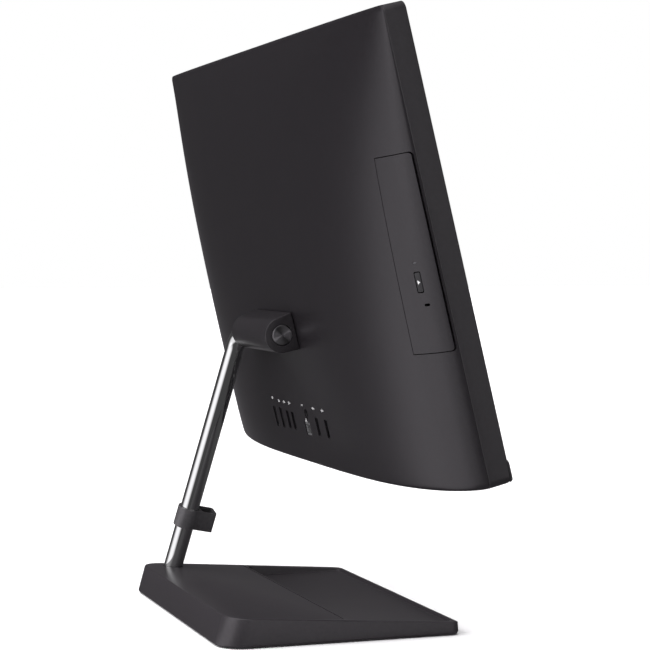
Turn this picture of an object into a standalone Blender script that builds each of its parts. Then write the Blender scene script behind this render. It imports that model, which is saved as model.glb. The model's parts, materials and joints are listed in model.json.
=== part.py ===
"""All-in-one desktop computer on an L-shaped tube stand, as an assembly of separate pieces.

Frame: metres, +Z up, origin on the desk at the centre of the base's footprint. The screen looks
towards -Y and +X is the user's right. The display pieces are drawn in the display's own upright
frame, whose origin is the lower front edge of the screen frame: x to the user's right, y backwards
from the front face, z up the face. They hang on one empty that sits on the tilt axis and leans back.
"""
from math import atan2, cos, pi, radians, sin, sqrt, tan

import bmesh
import bpy
from mathutils import Matrix, Vector

# ---------- driving dimensions ----------
GAP = 0.0003                      # clearance between neighbouring pieces

# base
BASE_HALF_X = 0.1329
BASE_FRONT_Y = -0.0925            # at the desk
BASE_REAR_Y = 0.0925
BASE_TOP_FRONT_Y = -0.0920        # at the top edge
BASE_TOP_REAR_Y = 0.0870
BASE_TOP_FRONT_Z = 0.0096
BASE_TOP_REAR_Z = 0.0228
BASE_BOTTOM_Z = 0.0008
BASE_REAR_CORNER = 0.020
BASE_FRONT_CORNER = 0.007
BASE_WALL = 0.0025
BASE_ROUND = 0.0020               # lower edge of the base
TRAY_HALF_X = 0.1260              # phone tray sunk in the front of the base
TRAY_FRONT_Y = -0.0882
TRAY_REAR_Y = -0.0045
TRAY_FLOOR_Z = 0.0077
TRAY_CORNER = 0.006
FOOT_RADIUS = 0.008
FOOT_X = 0.110
FOOT_FRONT_Y = -0.078
FOOT_REAR_Y = 0.070

# pole: a bent tube, one leg from the base's corner, the other leg is the tilt axle
POLE_RADIUS = 0.00775
POLE_BORE = 0.00575
POLE_BEND = 0.022                 # radius of the bend's centre line
POLE_FOOT = Vector((0.1175, 0.0623, 0.0210))
POLE_KNEE_X = 0.067               # where the two legs' centre lines would meet
POLE_END_X = -0.0437
POLE_SINK = 0.0113                # length of the leg below the base's top

# display
TILT = radians(13.9)              # leaning back, as stored
AXIS_Y = 0.0189                   # tilt axis in the part's frame
AXIS_Z = 0.2203
AXIS_BACK = 0.0643                # tilt axis in the display's frame
AXIS_UP = 0.1096
PANEL_W = 0.5408
PANEL_H = 0.3274
FRAME_DEPTH = 0.0153
FRAME_WALL = 0.0022
FRAME_LIP = 0.0015
FRAME_CORNER = 0.006
SCREEN_W = 0.5270
SCREEN_H = 0.2965
CHIN_H = 0.0239                   # frame below the screen
CHIN_BAR_H = 0.0160
CHIN_PROUD = 0.0012
CHIN_CHAMFER_Z = 0.0040           # the chin's lower front edge is rounded off up to here
CHIN_CHAMFER_Y = 0.0045           # and back to here

# rear cover: a pillow-shaped shell
COVER_FRONT = 0.0156
COVER_HALF_W = 0.2691
COVER_SKIN = 0.0024
COVER_TOP_BULGE = 0.0092
COVER_MAX_BULGE = 0.0378
COVER_FULL_Z = 0.030              # height where the bulge is greatest
COVER_LOW_LOSS = 0.0012           # how much shallower the bulge is at the bottom edge
COVER_END_ROUND = 0.005           # rounding of the outline's corners
COVER_EDGE_ROUND = 0.0025         # rounding of the top and bottom edges

# hinge
HINGE_LEFT_X = -0.0450
HINGE_RIGHT_X = 0.0455
HINGE_RADIUS = 0.0136
HINGE_FACE = 0.0532               # flat side against the rear cover
HINGE_TOP_FLARE = 0.0153
HINGE_BOTTOM_FLARE = 0.0139
HINGE_POCKET_RADIUS = 0.0116
CLAMP_HALF_X = 0.0245
CLAMP_RADIUS = 0.0112
CLAMP_HALF_Z = 0.0090

# optical drive in the user's left side
DRIVE_LOW_Z = 0.0963
DRIVE_HIGH_Z = 0.2311
DRIVE_INNER_X = -0.2360
DRIVE_FRONT_Y = 0.0168
DRIVE_CORNER = 0.0028
DRIVE_CASE = ((-0.2335, 0.0179, 0.0998), (-0.1060, 0.0283, 0.2278))
DISC_CENTRE = Vector((-0.1720, 0.0, 0.16375))
DISC_RADIUS = 0.0605
TRAY_BACK = 0.0194
TRAY_THICK = 0.0040

# rear connectors: x of each, low and high z of the opening
HDMI_X = (0.0604, 0.0440)
USB_X = (0.0270, 0.0140, -0.0450, -0.0663)
PORT_MID_Z = 0.0340
HDMI_H = 0.0158
USB_H = 0.0132
PORT_W = 0.0046
PORT_RIM = 0.0004
PORT_REAR = 0.0526
BOARD_BACK = 0.0300
BOARD_THICK = 0.0016
BOARD_TOP = BOARD_BACK + BOARD_THICK
NETWORK_MID = (-0.0192, 0.0300)
NETWORK_OPEN = (0.0116, 0.0096)
POWER_JACK_MID = (-0.0230, 0.0425)

# fan
FAN_CENTRE = Vector((0.1450, 0.0215, 0.1700))
FAN_RADIUS = 0.030
FAN_BLADES = 11


# ---------- scene helpers ----------
def clear_scene():
    for obj in list(bpy.data.objects):
        bpy.data.objects.remove(obj, do_unlink=True)


def material(name, color, roughness, metallic=0.0):
    mat = bpy.data.materials.get(name)
    if mat:
        return mat
    mat = bpy.data.materials.new(name)
    mat.use_nodes = True
    shader = mat.node_tree.nodes["Principled BSDF"]
    shader.inputs["Base Color"].default_value = (*color, 1.0)
    shader.inputs["Roughness"].default_value = roughness
    shader.inputs["Metallic"].default_value = metallic
    return mat


def case_plastic():
    return material("case_plastic", (0.030, 0.029, 0.032), 0.45)


def dark_plastic():
    return material("dark_plastic", (0.018, 0.018, 0.020), 0.40)


def chrome():
    return material("chrome", (0.80, 0.80, 0.82), 0.08, 1.0)


def steel():
    return material("steel", (0.55, 0.56, 0.58), 0.35, 1.0)


def rubber():
    return material("rubber", (0.02, 0.02, 0.02), 0.85)


def board_green():
    return material("board", (0.01, 0.06, 0.035), 0.50)


def empty(name, location, parent=None, rotation=(0.0, 0.0, 0.0)):
    obj = bpy.data.objects.new(name, None)
    obj.location = location
    obj.rotation_euler = rotation
    obj.parent = parent
    bpy.context.collection.objects.link(obj)
    return obj


def closed_mesh(bm, name):
    """Turn a closed bmesh into mesh data whose faces point outwards."""
    bmesh.ops.recalc_face_normals(bm, faces=bm.faces)
    if bm.calc_volume(signed=True) < 0:
        bmesh.ops.reverse_faces(bm, faces=bm.faces)
    mesh = bpy.data.meshes.new(name)
    bm.to_mesh(mesh)
    bm.free()
    return mesh


def piece(name, bm, mat, home, at=(0.0, 0.0, 0.0), rotation=None, smooth=30):
    """Make a named piece from a closed bmesh. home is its parent empty and the offset in it."""
    mesh = closed_mesh(bm, name)
    mesh.materials.append(mat)
    mesh.shade_smooth()
    mesh.set_sharp_from_angle(angle=radians(smooth))
    obj = bpy.data.objects.new(name, mesh)
    parent, offset = home
    obj.parent = parent
    obj.location = offset + Vector(at)
    if rotation is not None:
        obj.rotation_euler = rotation.to_euler()
    bpy.context.collection.objects.link(obj)
    return obj


def boolean(obj, bm, operation):
    """Cut a helper shape from a piece, or join it on. The helper is drawn in the piece's own frame."""
    count = len(obj.modifiers)
    helper = bpy.data.objects.new(f"{obj.name}_{operation.lower()}_{count}", closed_mesh(bm, "helper"))
    helper.parent = obj.parent
    helper.location = obj.location
    helper.rotation_euler = obj.rotation_euler
    helper.hide_render = True
    helper.display_type = "WIRE"
    bpy.context.collection.objects.link(helper)
    modifier = obj.modifiers.new(operation.lower(), "BOOLEAN")
    modifier.operation = operation
    modifier.solver = "EXACT"
    modifier.object = helper


def carve(obj, *shapes):
    for shape in shapes:
        boolean(obj, shape, "DIFFERENCE")


def weld_on(obj, *shapes):
    for shape in shapes:
        boolean(obj, shape, "UNION")


# ---------- shape helpers, each returns a closed bmesh ----------
def box(low, high, bevel=0.0):
    bm = bmesh.new()
    size = [b - a for a, b in zip(low, high)]
    middle = [(a + b) / 2 for a, b in zip(low, high)]
    bmesh.ops.create_cube(bm, size=1.0, matrix=Matrix.Translation(middle) @ Matrix.Diagonal((*size, 1.0)))
    if bevel:
        bmesh.ops.bevel(bm, geom=bm.edges[:], offset=bevel, segments=1, affect="EDGES")
    return bm


def joined(*shapes):
    """Several separate closed shapes in one bmesh, for use as one cutter."""
    total = bmesh.new()
    for shape in shapes:
        bmesh.ops.recalc_face_normals(shape, faces=shape.faces)
        scratch = bpy.data.meshes.new("scratch")
        shape.to_mesh(scratch)
        shape.free()
        total.from_mesh(scratch)
        bpy.data.meshes.remove(scratch)
    return total


def oriented(axis, a, b, along):
    """A point whose two outline coordinates are a and b and whose third is along the given axis."""
    if axis == "X":
        return (along, a, b)
    if axis == "Y":
        return (a, along, b)
    return (a, b, along)


def prism(outline, axis, low, high):
    """Extrude a flat outline along an axis. The outline holds the other two coordinates in order."""
    bm = bmesh.new()
    first = [bm.verts.new(oriented(axis, a, b, low)) for a, b in outline]
    second = [bm.verts.new(oriented(axis, a, b, high)) for a, b in outline]
    bm.faces.new(first)
    bm.faces.new(second)
    count = len(outline)
    for i in range(count):
        j = (i + 1) % count
        bm.faces.new((first[i], first[j], second[j], second[i]))
    return bm


def circle(radius, sides, middle=(0.0, 0.0)):
    step = 2 * pi / sides
    return [(middle[0] + radius * cos(i * step), middle[1] + radius * sin(i * step)) for i in range(sides)]


def corner_arc(cx, cy, radius, start, steps):
    """A quarter turn that starts at the given angle."""
    turns = [start + pi / 2 * i / steps for i in range(steps + 1)]
    return [(cx + radius * cos(t), cy + radius * sin(t)) for t in turns]


def round_rect(x0, y0, x1, y1, radius, steps=4):
    return (corner_arc(x1 - radius, y1 - radius, radius, 0.0, steps)
            + corner_arc(x0 + radius, y1 - radius, radius, pi / 2, steps)
            + corner_arc(x0 + radius, y0 + radius, radius, pi, steps)
            + corner_arc(x1 - radius, y0 + radius, radius, 3 * pi / 2, steps))


def ring(inner, outer, sides, axis, low, high):
    """A washer or sleeve with flat sides."""
    bm = bmesh.new()
    loops = []
    for radius, along in ((outer, low), (outer, high), (inner, high), (inner, low)):
        loops.append([bm.verts.new(oriented(axis, a, b, along)) for a, b in circle(radius, sides)])
    bridge_loops(bm, loops + loops[:1])
    return bm


def bridge_loops(bm, loops):
    for one, two in zip(loops, loops[1:]):
        count = len(one)
        for i in range(count):
            j = (i + 1) % count
            bm.faces.new((one[i], one[j], two[j], two[i]))


def sweep(path, radius, sides, bore=0.0):
    """A round bar along a path, or a tube when it has a bore."""
    bm = bmesh.new()
    directions = []
    for i in range(len(path)):
        before = path[max(i - 1, 0)]
        after = path[min(i + 1, len(path) - 1)]
        directions.append((after - before).normalized())
    across = directions[0].cross(Vector((0.3, 1.0, 0.1))).normalized()
    outer, inner = [], []
    for point, direction in zip(path, directions):
        across = (across - direction * across.dot(direction)).normalized()
        up = direction.cross(across)
        outer.append([bm.verts.new(point + across * a + up * b) for a, b in circle(radius, sides)])
        if bore:
            inner.append([bm.verts.new(point + across * a + up * b) for a, b in circle(bore, sides)])
    if bore:
        bridge_loops(bm, outer + inner[::-1] + outer[:1])
    else:
        bridge_loops(bm, outer)
        bm.faces.new(outer[0])
        bm.faces.new(outer[-1])
    return bm


# ---------- base ----------
def base_top_z(y):
    slope = (BASE_TOP_REAR_Z - BASE_TOP_FRONT_Z) / (BASE_TOP_REAR_Y - BASE_TOP_FRONT_Y)
    return BASE_TOP_FRONT_Z + slope * (y - BASE_TOP_FRONT_Y)


def base_footprint(inset):
    """Outline of the base at the desk, drawn in by inset, counter-clockwise from the right rear."""
    rear = BASE_REAR_CORNER - inset
    front = max(BASE_FRONT_CORNER - inset, 0.001)
    x = BASE_HALF_X - inset
    y0, y1 = BASE_FRONT_Y + inset, BASE_REAR_Y - inset
    return (corner_arc(x - rear, y1 - rear, rear, 0.0, 6)
            + corner_arc(-x + rear, y1 - rear, rear, pi / 2, 6)
            + corner_arc(-x + front, y0 + front, front, pi, 4)
            + corner_arc(x - front, y0 + front, front, 3 * pi / 2, 4))


def base_body(inset, bottom, drop, round_bottom=0.0):
    """The wedge: its rear face leans forward, its top slopes down to the front, its lower edge is rounded."""
    bm = bmesh.new()
    steps = 3 if round_bottom else 1
    rings = []
    for i in range(steps):
        turn = pi / 2 * i / max(steps - 1, 1)
        outline = base_footprint(inset + round_bottom * (1 - sin(turn)))
        z = bottom + round_bottom * (1 - cos(turn))
        rings.append([bm.verts.new((x, y, z)) for x, y in outline])
    shrink = (BASE_TOP_REAR_Y - BASE_TOP_FRONT_Y) / (BASE_REAR_Y - BASE_FRONT_Y)
    high = []
    for x, y in base_footprint(inset):
        top_y = BASE_TOP_FRONT_Y + (y - BASE_FRONT_Y) * shrink
        high.append(bm.verts.new((x, top_y, base_top_z(top_y) - drop)))
    bridge_loops(bm, rings + [high])
    bm.faces.new(rings[0])
    bm.faces.new(high)
    return bm


def make_base(home):
    shell = piece("base_shell", base_body(0.0, BASE_BOTTOM_Z, 0.0, BASE_ROUND), case_plastic(), home)
    tray = round_rect(-TRAY_HALF_X, TRAY_FRONT_Y, TRAY_HALF_X, TRAY_REAR_Y, TRAY_CORNER)
    carve(shell, prism(tray, "Z", TRAY_FLOOR_Z, 0.040))
    carve(shell, base_hollow())
    carve(shell, sweep([leg_point(-0.008), leg_point(0.010)], POLE_RADIUS + 0.00035, 24))

    plate_x, plate_y0, plate_y1 = 0.121, -0.083, 0.074
    weight = piece("base_weight", box((-plate_x, plate_y0, 0.0035), (plate_x, plate_y1, 0.0049)), steel(), home)
    weld_on(weight, box((-0.105, 0.006, 0.0040), (0.096, plate_y1 - 0.004, 0.0100)))

    cover = base_footprint(BASE_WALL + GAP)
    piece("base_bottom_cover", prism(cover, "Z", 0.0018, 0.0032), dark_plastic(), home)
    for side, x in (("left", -FOOT_X), ("right", FOOT_X)):
        for end, y in (("front", FOOT_FRONT_Y), ("rear", FOOT_REAR_Y)):
            pad = prism(circle(FOOT_RADIUS, 20), "Z", 0.0, 0.0015)
            piece(f"foot_{end}_{side}", pad, rubber(), home, (x, y, 0.0))


def base_hollow():
    """What the base's moulding leaves open underneath, behind the tray and under it."""
    rear = base_body(BASE_WALL, 0.0, BASE_WALL)
    bmesh.ops.bisect_plane(rear, geom=rear.verts[:] + rear.edges[:] + rear.faces[:],
                           plane_co=(0.0, TRAY_REAR_Y + BASE_WALL, 0.0), plane_no=(0.0, -1.0, 0.0),
                           clear_outer=True)
    bmesh.ops.holes_fill(rear, edges=[e for e in rear.edges if e.is_boundary])
    front = prism(base_footprint(BASE_WALL), "Z", 0.0, TRAY_FLOOR_Z - BASE_WALL)
    return combined(rear, front, "UNION")


def combined(first, second, operation):
    """Two shapes put together as one bmesh, worked out with a Boolean on scratch objects."""
    one = bpy.data.objects.new("scratch_one", closed_mesh(first, "scratch"))
    two = bpy.data.objects.new("scratch_two", closed_mesh(second, "scratch"))
    for obj in (one, two):
        bpy.context.collection.objects.link(obj)
    modifier = one.modifiers.new("combine", "BOOLEAN")
    modifier.operation = operation
    modifier.solver = "EXACT"
    modifier.object = two
    graph = bpy.context.evaluated_depsgraph_get()
    result = bmesh.new()
    result.from_object(one, graph)
    for obj in (one, two):
        bpy.data.objects.remove(obj, do_unlink=True)
    return result


# ---------- pole ----------
def pole_knee():
    return Vector((POLE_KNEE_X, AXIS_Y, AXIS_Z))


def leg_direction():
    return (pole_knee() - POLE_FOOT).normalized()


def leg_point(distance):
    """A point on the leg's centre line, measured upwards from the base's top."""
    return POLE_FOOT + leg_direction() * distance


def pole_path():
    """The leg, the bend into the axle, and the axle, as centre-line points."""
    up = leg_direction()
    along = Vector((-1.0, 0.0, 0.0))
    turn = up.angle(along)
    reach = POLE_BEND * tan(turn / 2)
    start = pole_knee() - up * reach
    side = (along - up * along.dot(up)).normalized()
    centre = start + side * POLE_BEND
    points = [leg_point(-POLE_SINK), leg_point(0.060), leg_point(0.120)]
    steps = 9
    for i in range(steps + 1):
        angle = turn * i / steps
        points.append(centre - side * POLE_BEND * cos(angle) + up * POLE_BEND * sin(angle))
    points.append(Vector((POLE_END_X, AXIS_Y, AXIS_Z)))
    return points


def make_pole(home):
    piece("pole", sweep(pole_path(), POLE_RADIUS, 24, POLE_BORE), chrome(), home, smooth=40)

    flange = piece("pole_spigot", box((0.104, 0.047, 0.0053), (0.128, 0.075, 0.0073)), steel(), home)
    weld_on(flange, sweep([leg_point(-0.0149), leg_point(0.004)], POLE_BORE - GAP, 16))

    cap = piece("axle_end_cap", prism(circle(POLE_RADIUS + 0.0001, 32), "X", -0.0009, 0.0), steel(),
                home, (POLE_END_X - GAP, AXIS_Y, AXIS_Z))
    weld_on(cap, prism(circle(POLE_BORE - GAP, 16), "X", -0.0005, 0.0060))

    axis = (0.0, AXIS_Y, AXIS_Z)
    piece("spring_washer", ring(POLE_RADIUS + GAP, 0.0108, 24, "X", -0.0272, -0.0252), steel(), home, axis)
    nut = piece("axle_nut", prism(circle(0.0110, 6), "X", -0.0330, -0.0275), steel(), home, axis)
    carve(nut, prism(circle(POLE_RADIUS + 0.0004, 24), "X", -0.05, 0.05))


def make_cable_clip(home):
    """A snap ring round the leg with a square loop in front of it for the cable."""
    height, wall, loop_end, half = 0.0165, 0.0016, -0.0225, 0.0078
    up = leg_direction()
    side = Vector((0.0, 1.0, 0.0)).cross(up).normalized()
    rotation = Matrix((side, up.cross(side), up)).transposed()
    outer = POLE_RADIUS + GAP + wall
    low, high = -height / 2, height / 2
    outline = [(-half, 0.0), (-half, loop_end), (half, loop_end), (half, 0.0)]
    clip = piece("cable_clip", prism(circle(outer, 28), "Z", low, high), dark_plastic(), home,
                 leg_point(0.045), rotation)
    weld_on(clip, prism(outline, "Z", low, high))
    mouth = box((POLE_RADIUS - 0.002, -0.0035, -0.02), (0.0130, 0.0035, 0.02))
    loop = [(-half + wall, -outer), (-half + wall, loop_end + wall),
            (half - wall, loop_end + wall), (half - wall, -outer)]
    carve(clip, prism(circle(POLE_RADIUS + GAP, 28), "Z", -0.02, 0.02), mouth, prism(loop, "Z", -0.02, 0.02))


# ---------- rear cover ----------
def cover_bulge(z):
    """How far the middle of the cover stands behind its front edge, at a height."""
    if z < COVER_FULL_Z:
        return COVER_MAX_BULGE - COVER_LOW_LOSS * ((COVER_FULL_Z - z) / COVER_FULL_Z) ** 2
    t = (z - COVER_FULL_Z) / (PANEL_H - COVER_FULL_Z)
    return COVER_TOP_BULGE + (COVER_MAX_BULGE - COVER_TOP_BULGE) * (1 - 0.55 * t ** 2.5 - 0.45 * t ** 6)


def side_fall(t):
    """1 in the middle of the cover and 0 at its side edges."""
    return max(1 - abs(t) ** 3.6, 0.0) ** 0.64


def end_loss(distance, radius):
    """How far a rounded edge has drawn in, at a distance from the end."""
    if distance >= radius:
        return 0.0
    return radius - sqrt(radius ** 2 - (radius - distance) ** 2)


def cover_surface(x, z, skin=0.0):
    """y of the cover's outer surface, or of the one a skin inside it."""
    end = max(min(z - skin, PANEL_H - skin - z), 0.0)
    half = COVER_HALF_W - skin - end_loss(end, COVER_END_ROUND)
    depth = max(cover_bulge(z) - skin - end_loss(end, COVER_EDGE_ROUND), 0.0)
    return COVER_FRONT + depth * side_fall(x / half), half


def cover_levels(skin):
    arc = [COVER_END_ROUND * (1 - cos(pi / 2 * i / 3)) for i in range(4)]
    low = [skin + d for d in arc]
    high = [PANEL_H - skin - d for d in reversed(arc)]
    middle = [0.015, 0.030, 0.060, 0.095, 0.130, 0.165, 0.200, 0.230, 0.255, 0.278, 0.298, 0.312]
    return low + middle + high


def cover_stations(count):
    """Places across the cover, from -1 to 1, closer together towards the sides."""
    found = []
    for i in range(count + 1):
        t = 2 * i / count - 1
        found.append((1 if t > 0 else -1) * (1 - (1 - abs(t)) ** 1.9))
    return found


def pillow(skin, front, count=30):
    """The closed solid between the flat plane y = front and the cover's surface."""
    bm = bmesh.new()
    loops = []
    for z in cover_levels(skin):
        half = cover_surface(0.0, z, skin)[1]
        loop = [bm.verts.new((-half, front, z))]
        for t in cover_stations(count):
            y = cover_surface(t * half, z, skin)[0]
            loop.append(bm.verts.new((t * half, max(y, front + 1e-5), z)))
        loop.append(bm.verts.new((half, front, z)))
        loops.append(loop)
    bridge_loops(bm, loops)
    bm.faces.new(loops[0])
    bm.faces.new(loops[-1])
    bmesh.ops.remove_doubles(bm, verts=bm.verts, dist=2e-5)
    return bm


def port_cutter(x, z, width, height, extra):
    low = (x - width / 2 - extra, 0.045, z - height / 2 - extra)
    high = (x + width / 2 + extra, 0.060, z + height / 2 + extra)
    return box(low, high)


def port_windows():
    """Cut-outs of the cover round every rear connector."""
    room = PORT_RIM + GAP
    cuts = [port_cutter(x, PORT_MID_Z, PORT_W, HDMI_H, room) for x in HDMI_X]
    cuts += [port_cutter(x, PORT_MID_Z, PORT_W, USB_H, room) for x in USB_X]
    cuts.append(port_cutter(*NETWORK_MID, *NETWORK_OPEN, room))
    jack = prism(circle(0.0037 + GAP, 16, POWER_JACK_MID), "Y", 0.045, 0.060)
    return joined(*cuts, jack)


def vent_slots():
    """Air slots: a row in the bottom face at each side and a row in the top face."""
    cuts = []
    for side in (-1, 1):
        for i in range(8):
            x = side * (0.090 + 0.009 * i)
            cuts.append(box((x - 0.0014, 0.022, -0.002), (x + 0.0014, 0.040, 0.006)))
    for i in range(12):
        x = -0.0605 + 0.011 * i
        cuts.append(box((x - 0.0030, 0.0190, PANEL_H - 0.006), (x + 0.0030, 0.0214, PANEL_H + 0.002)))
    return joined(*cuts)


def drive_block(inset):
    """The space of the drive's bezel: its two corners at the display's edge are rounded."""
    low, high = DRIVE_LOW_Z + inset, DRIVE_HIGH_Z - inset
    side = round_rect(DRIVE_FRONT_Y + 2 * inset, low, 0.080, high, DRIVE_CORNER - inset, 4)
    return prism(side, "X", -0.290, DRIVE_INNER_X - inset)


def make_rear_cover(home):
    cover = piece("rear_cover", pillow(0.0, COVER_FRONT), case_plastic(), home)
    carve(cover, pillow(COVER_SKIN, COVER_FRONT - 0.004))
    carve(cover, port_windows())
    carve(cover, vent_slots())
    carve(cover, box((-0.0268, 0.045, AXIS_UP - 0.0105), (0.0268, 0.060, AXIS_UP + 0.0105)))
    carve(cover, drive_block(0.0))


# ---------- front ----------
def make_front(home):
    half = PANEL_W / 2
    frame = piece("front_frame", prism(round_rect(-half, 0.0, half, PANEL_H, FRAME_CORNER), "Y", 0.0, FRAME_DEPTH),
                  case_plastic(), home)
    wall = FRAME_WALL
    inner = round_rect(-half + wall, wall, half - wall, PANEL_H - wall, FRAME_CORNER - wall)
    carve(frame, prism(inner, "Y", FRAME_LIP, 0.020))
    carve(frame, box((-SCREEN_W / 2, -0.01, CHIN_H), (SCREEN_W / 2, 0.01, CHIN_H + SCREEN_H)))
    recess = round_rect(-half - 0.001, -0.001, half + 0.001, CHIN_BAR_H + GAP, 0.0005, 1)
    carve(frame, prism(recess, "Y", -0.002, 0.0008))
    carve(frame, prism(round_rect(0.219, 0.0055, 0.231, 0.0105, 0.0024), "Z", -0.002, 0.004))
    lens = prism(circle(0.0013, 12, (0.0, PANEL_H - 0.0037)), "Y", -0.002, 0.004)
    slot = box((0.0035, -0.002, PANEL_H - 0.0043), (0.0135, 0.004, PANEL_H - 0.0031))
    carve(frame, joined(lens, slot), chin_edge())

    bar = piece("chin_bar", prism(round_rect(-half, 0.0, half, CHIN_BAR_H, 0.003), "Y", -CHIN_PROUD, 0.0005),
                case_plastic(), home)
    slots = [box((x - 0.0035, -0.01, 0.0058), (x + 0.0035, 0.01, 0.0070)) for x in grille_places()]
    carve(bar, joined(*slots), chin_edge())

    edge = GAP
    piece("lcd_glass", box((-SCREEN_W / 2 + edge, 0.0003, CHIN_H + edge),
                           (SCREEN_W / 2 - edge, 0.0014, CHIN_H + SCREEN_H - edge)),
          material("screen", (0.010, 0.010, 0.012), 0.25), home)
    piece("lcd_module", box((-0.2655, 0.0018, CHIN_H - 0.0010), (0.2655, 0.0088, CHIN_H + SCREEN_H + 0.0010)),
          steel(), home)


def chin_edge():
    """What the rounded lower front edge of the chin leaves out, all along it."""
    rise, run = CHIN_CHAMFER_Z, CHIN_CHAMFER_Y + CHIN_PROUD
    outline = [(-0.005, -0.003), (-0.005, rise)]
    for i in range(6):
        turn = pi / 2 * i / 5
        outline.append((-CHIN_PROUD + run * (1 - cos(turn)), rise * (1 - sin(turn)) - 0.00001))
    outline.append((CHIN_CHAMFER_Y, -0.003))
    half = PANEL_W / 2 + 0.005
    return prism(outline, "X", -half, half)


def grille_places():
    return [side * (0.205 + 0.010 * i) for side in (-1, 1) for i in range(5)]


def make_camera(home):
    middle = PANEL_H - 0.0037
    module = piece("camera_module", box((-0.012, 0.0032, middle - 0.0012), (0.012, 0.0066, middle + 0.0012)),
                   board_green(), home)
    weld_on(module, prism(circle(0.0010, 12, (0.0, middle)), "Y", 0.0027, 0.0040))
    plate = box((-0.0100, 0.0018, -0.0011), (0.0015, 0.0024, 0.0011))
    shutter = piece("camera_shutter", plate, dark_plastic(), home, (0.0118, 0.0, middle))
    weld_on(shutter, box((-0.0012, -0.0005, -0.0004), (0.0012, 0.0020, 0.0004)))


def make_power_button(home):
    outline = round_rect(-0.0057, -0.0022, 0.0057, 0.0022, 0.0021)
    piece("power_button", prism(outline, "Z", -0.0002, 0.0026), dark_plastic(), home, (0.225, 0.008, 0.0))
    piece("power_switch", box((0.2215, 0.0050, 0.0042), (0.2285, 0.0088, 0.0085)), board_green(), home)


# ---------- hinge ----------
def hinge_outline(radius, top, bottom, face):
    """Half round behind the axle, straight sides to the cover: pairs of y and z."""
    points = [(face, AXIS_UP - bottom)]
    steps = 12
    for i in range(steps + 1):
        angle = -pi / 2 + pi * i / steps
        points.append((AXIS_BACK + radius * cos(angle), AXIS_UP + radius * sin(angle)))
    points.append((face, AXIS_UP + top))
    return points


def make_hinge(home):
    outline = hinge_outline(HINGE_RADIUS, HINGE_TOP_FLARE, HINGE_BOTTOM_FLARE, HINGE_FACE)
    housing = piece("hinge_housing", prism(outline, "X", HINGE_LEFT_X, HINGE_RIGHT_X), case_plastic(), home)
    axis = (AXIS_BACK, AXIS_UP)
    pocket = hinge_outline(HINGE_POCKET_RADIUS, HINGE_POCKET_RADIUS, HINGE_POCKET_RADIUS, HINGE_FACE - 0.01)
    carve(housing, prism(pocket, "X", -0.0345, 0.0265))
    carve(housing, prism(circle(POLE_RADIUS + 0.00035, 32, axis), "X", -0.060, 0.060))

    clamp = piece("hinge_clamp", prism(hinge_outline(CLAMP_RADIUS, CLAMP_HALF_Z, CLAMP_HALF_Z, 0.0495), "X",
                                       -CLAMP_HALF_X, CLAMP_HALF_X), steel(), home)
    carve(clamp, prism(circle(POLE_RADIUS + 0.0002, 32, axis), "X", -0.060, 0.060))
    carve(clamp, box((-0.03, AXIS_BACK - 0.020, AXIS_UP - 0.0006), (0.03, AXIS_BACK, AXIS_UP + 0.0006)))

    half, low, high = 0.1005, AXIS_UP - 0.020, AXIS_UP + 0.020
    bridge = [(-half - 0.014, 0.0107), (-half, 0.0107), (-half, 0.0465), (half, 0.0465), (half, 0.0107),
              (half + 0.014, 0.0107), (half + 0.014, 0.0127), (half + 0.002, 0.0127), (half + 0.002, 0.0485),
              (-half - 0.002, 0.0485), (-half - 0.002, 0.0127), (-half - 0.014, 0.0127)]
    piece("hinge_bracket", prism(bridge, "Z", low, high), steel(), home)


# ---------- optical drive ----------
def button_frame():
    """Place and rotation of the eject button, square to the bezel's surface."""
    x, z = -0.2548, 0.14505
    y = cover_surface(x, z)[0]
    step = 0.001
    slope = (cover_surface(x + step, z)[0] - cover_surface(x - step, z)[0]) / (2 * step)
    return Vector((x, y, z)), atan2(slope, 1.0)


def make_drive_bezel(home):
    bezel = piece("drive_bezel", pillow(0.0, COVER_FRONT), case_plastic(), home)
    boolean(bezel, drive_block(GAP), "INTERSECT")
    carve(bezel, pillow(COVER_SKIN, COVER_FRONT - 0.004))

    place, angle = button_frame()
    turn = Matrix.Rotation(angle, 4, "Z")
    hole = box((-0.0027, -0.006, -0.0070), (0.0027, 0.004, 0.0070))
    hole.transform(Matrix.Translation(place) @ turn)
    window = prism(round_rect(-0.0023, -0.0009, 0.0023, 0.0009, 0.0007, 3), "Y", -0.006, 0.004)
    window.transform(Matrix.Translation(Vector((-0.2576, cover_surface(-0.2576, 0.1294)[0], 0.1294))) @ turn)
    carve(bezel, joined(hole, window))

    button = box((-0.0024, -0.0026, -0.0067), (0.0024, 0.0, 0.0067), 0.0003)
    piece("eject_button", button, dark_plastic(), home, place, turn.to_3x3())


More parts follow.
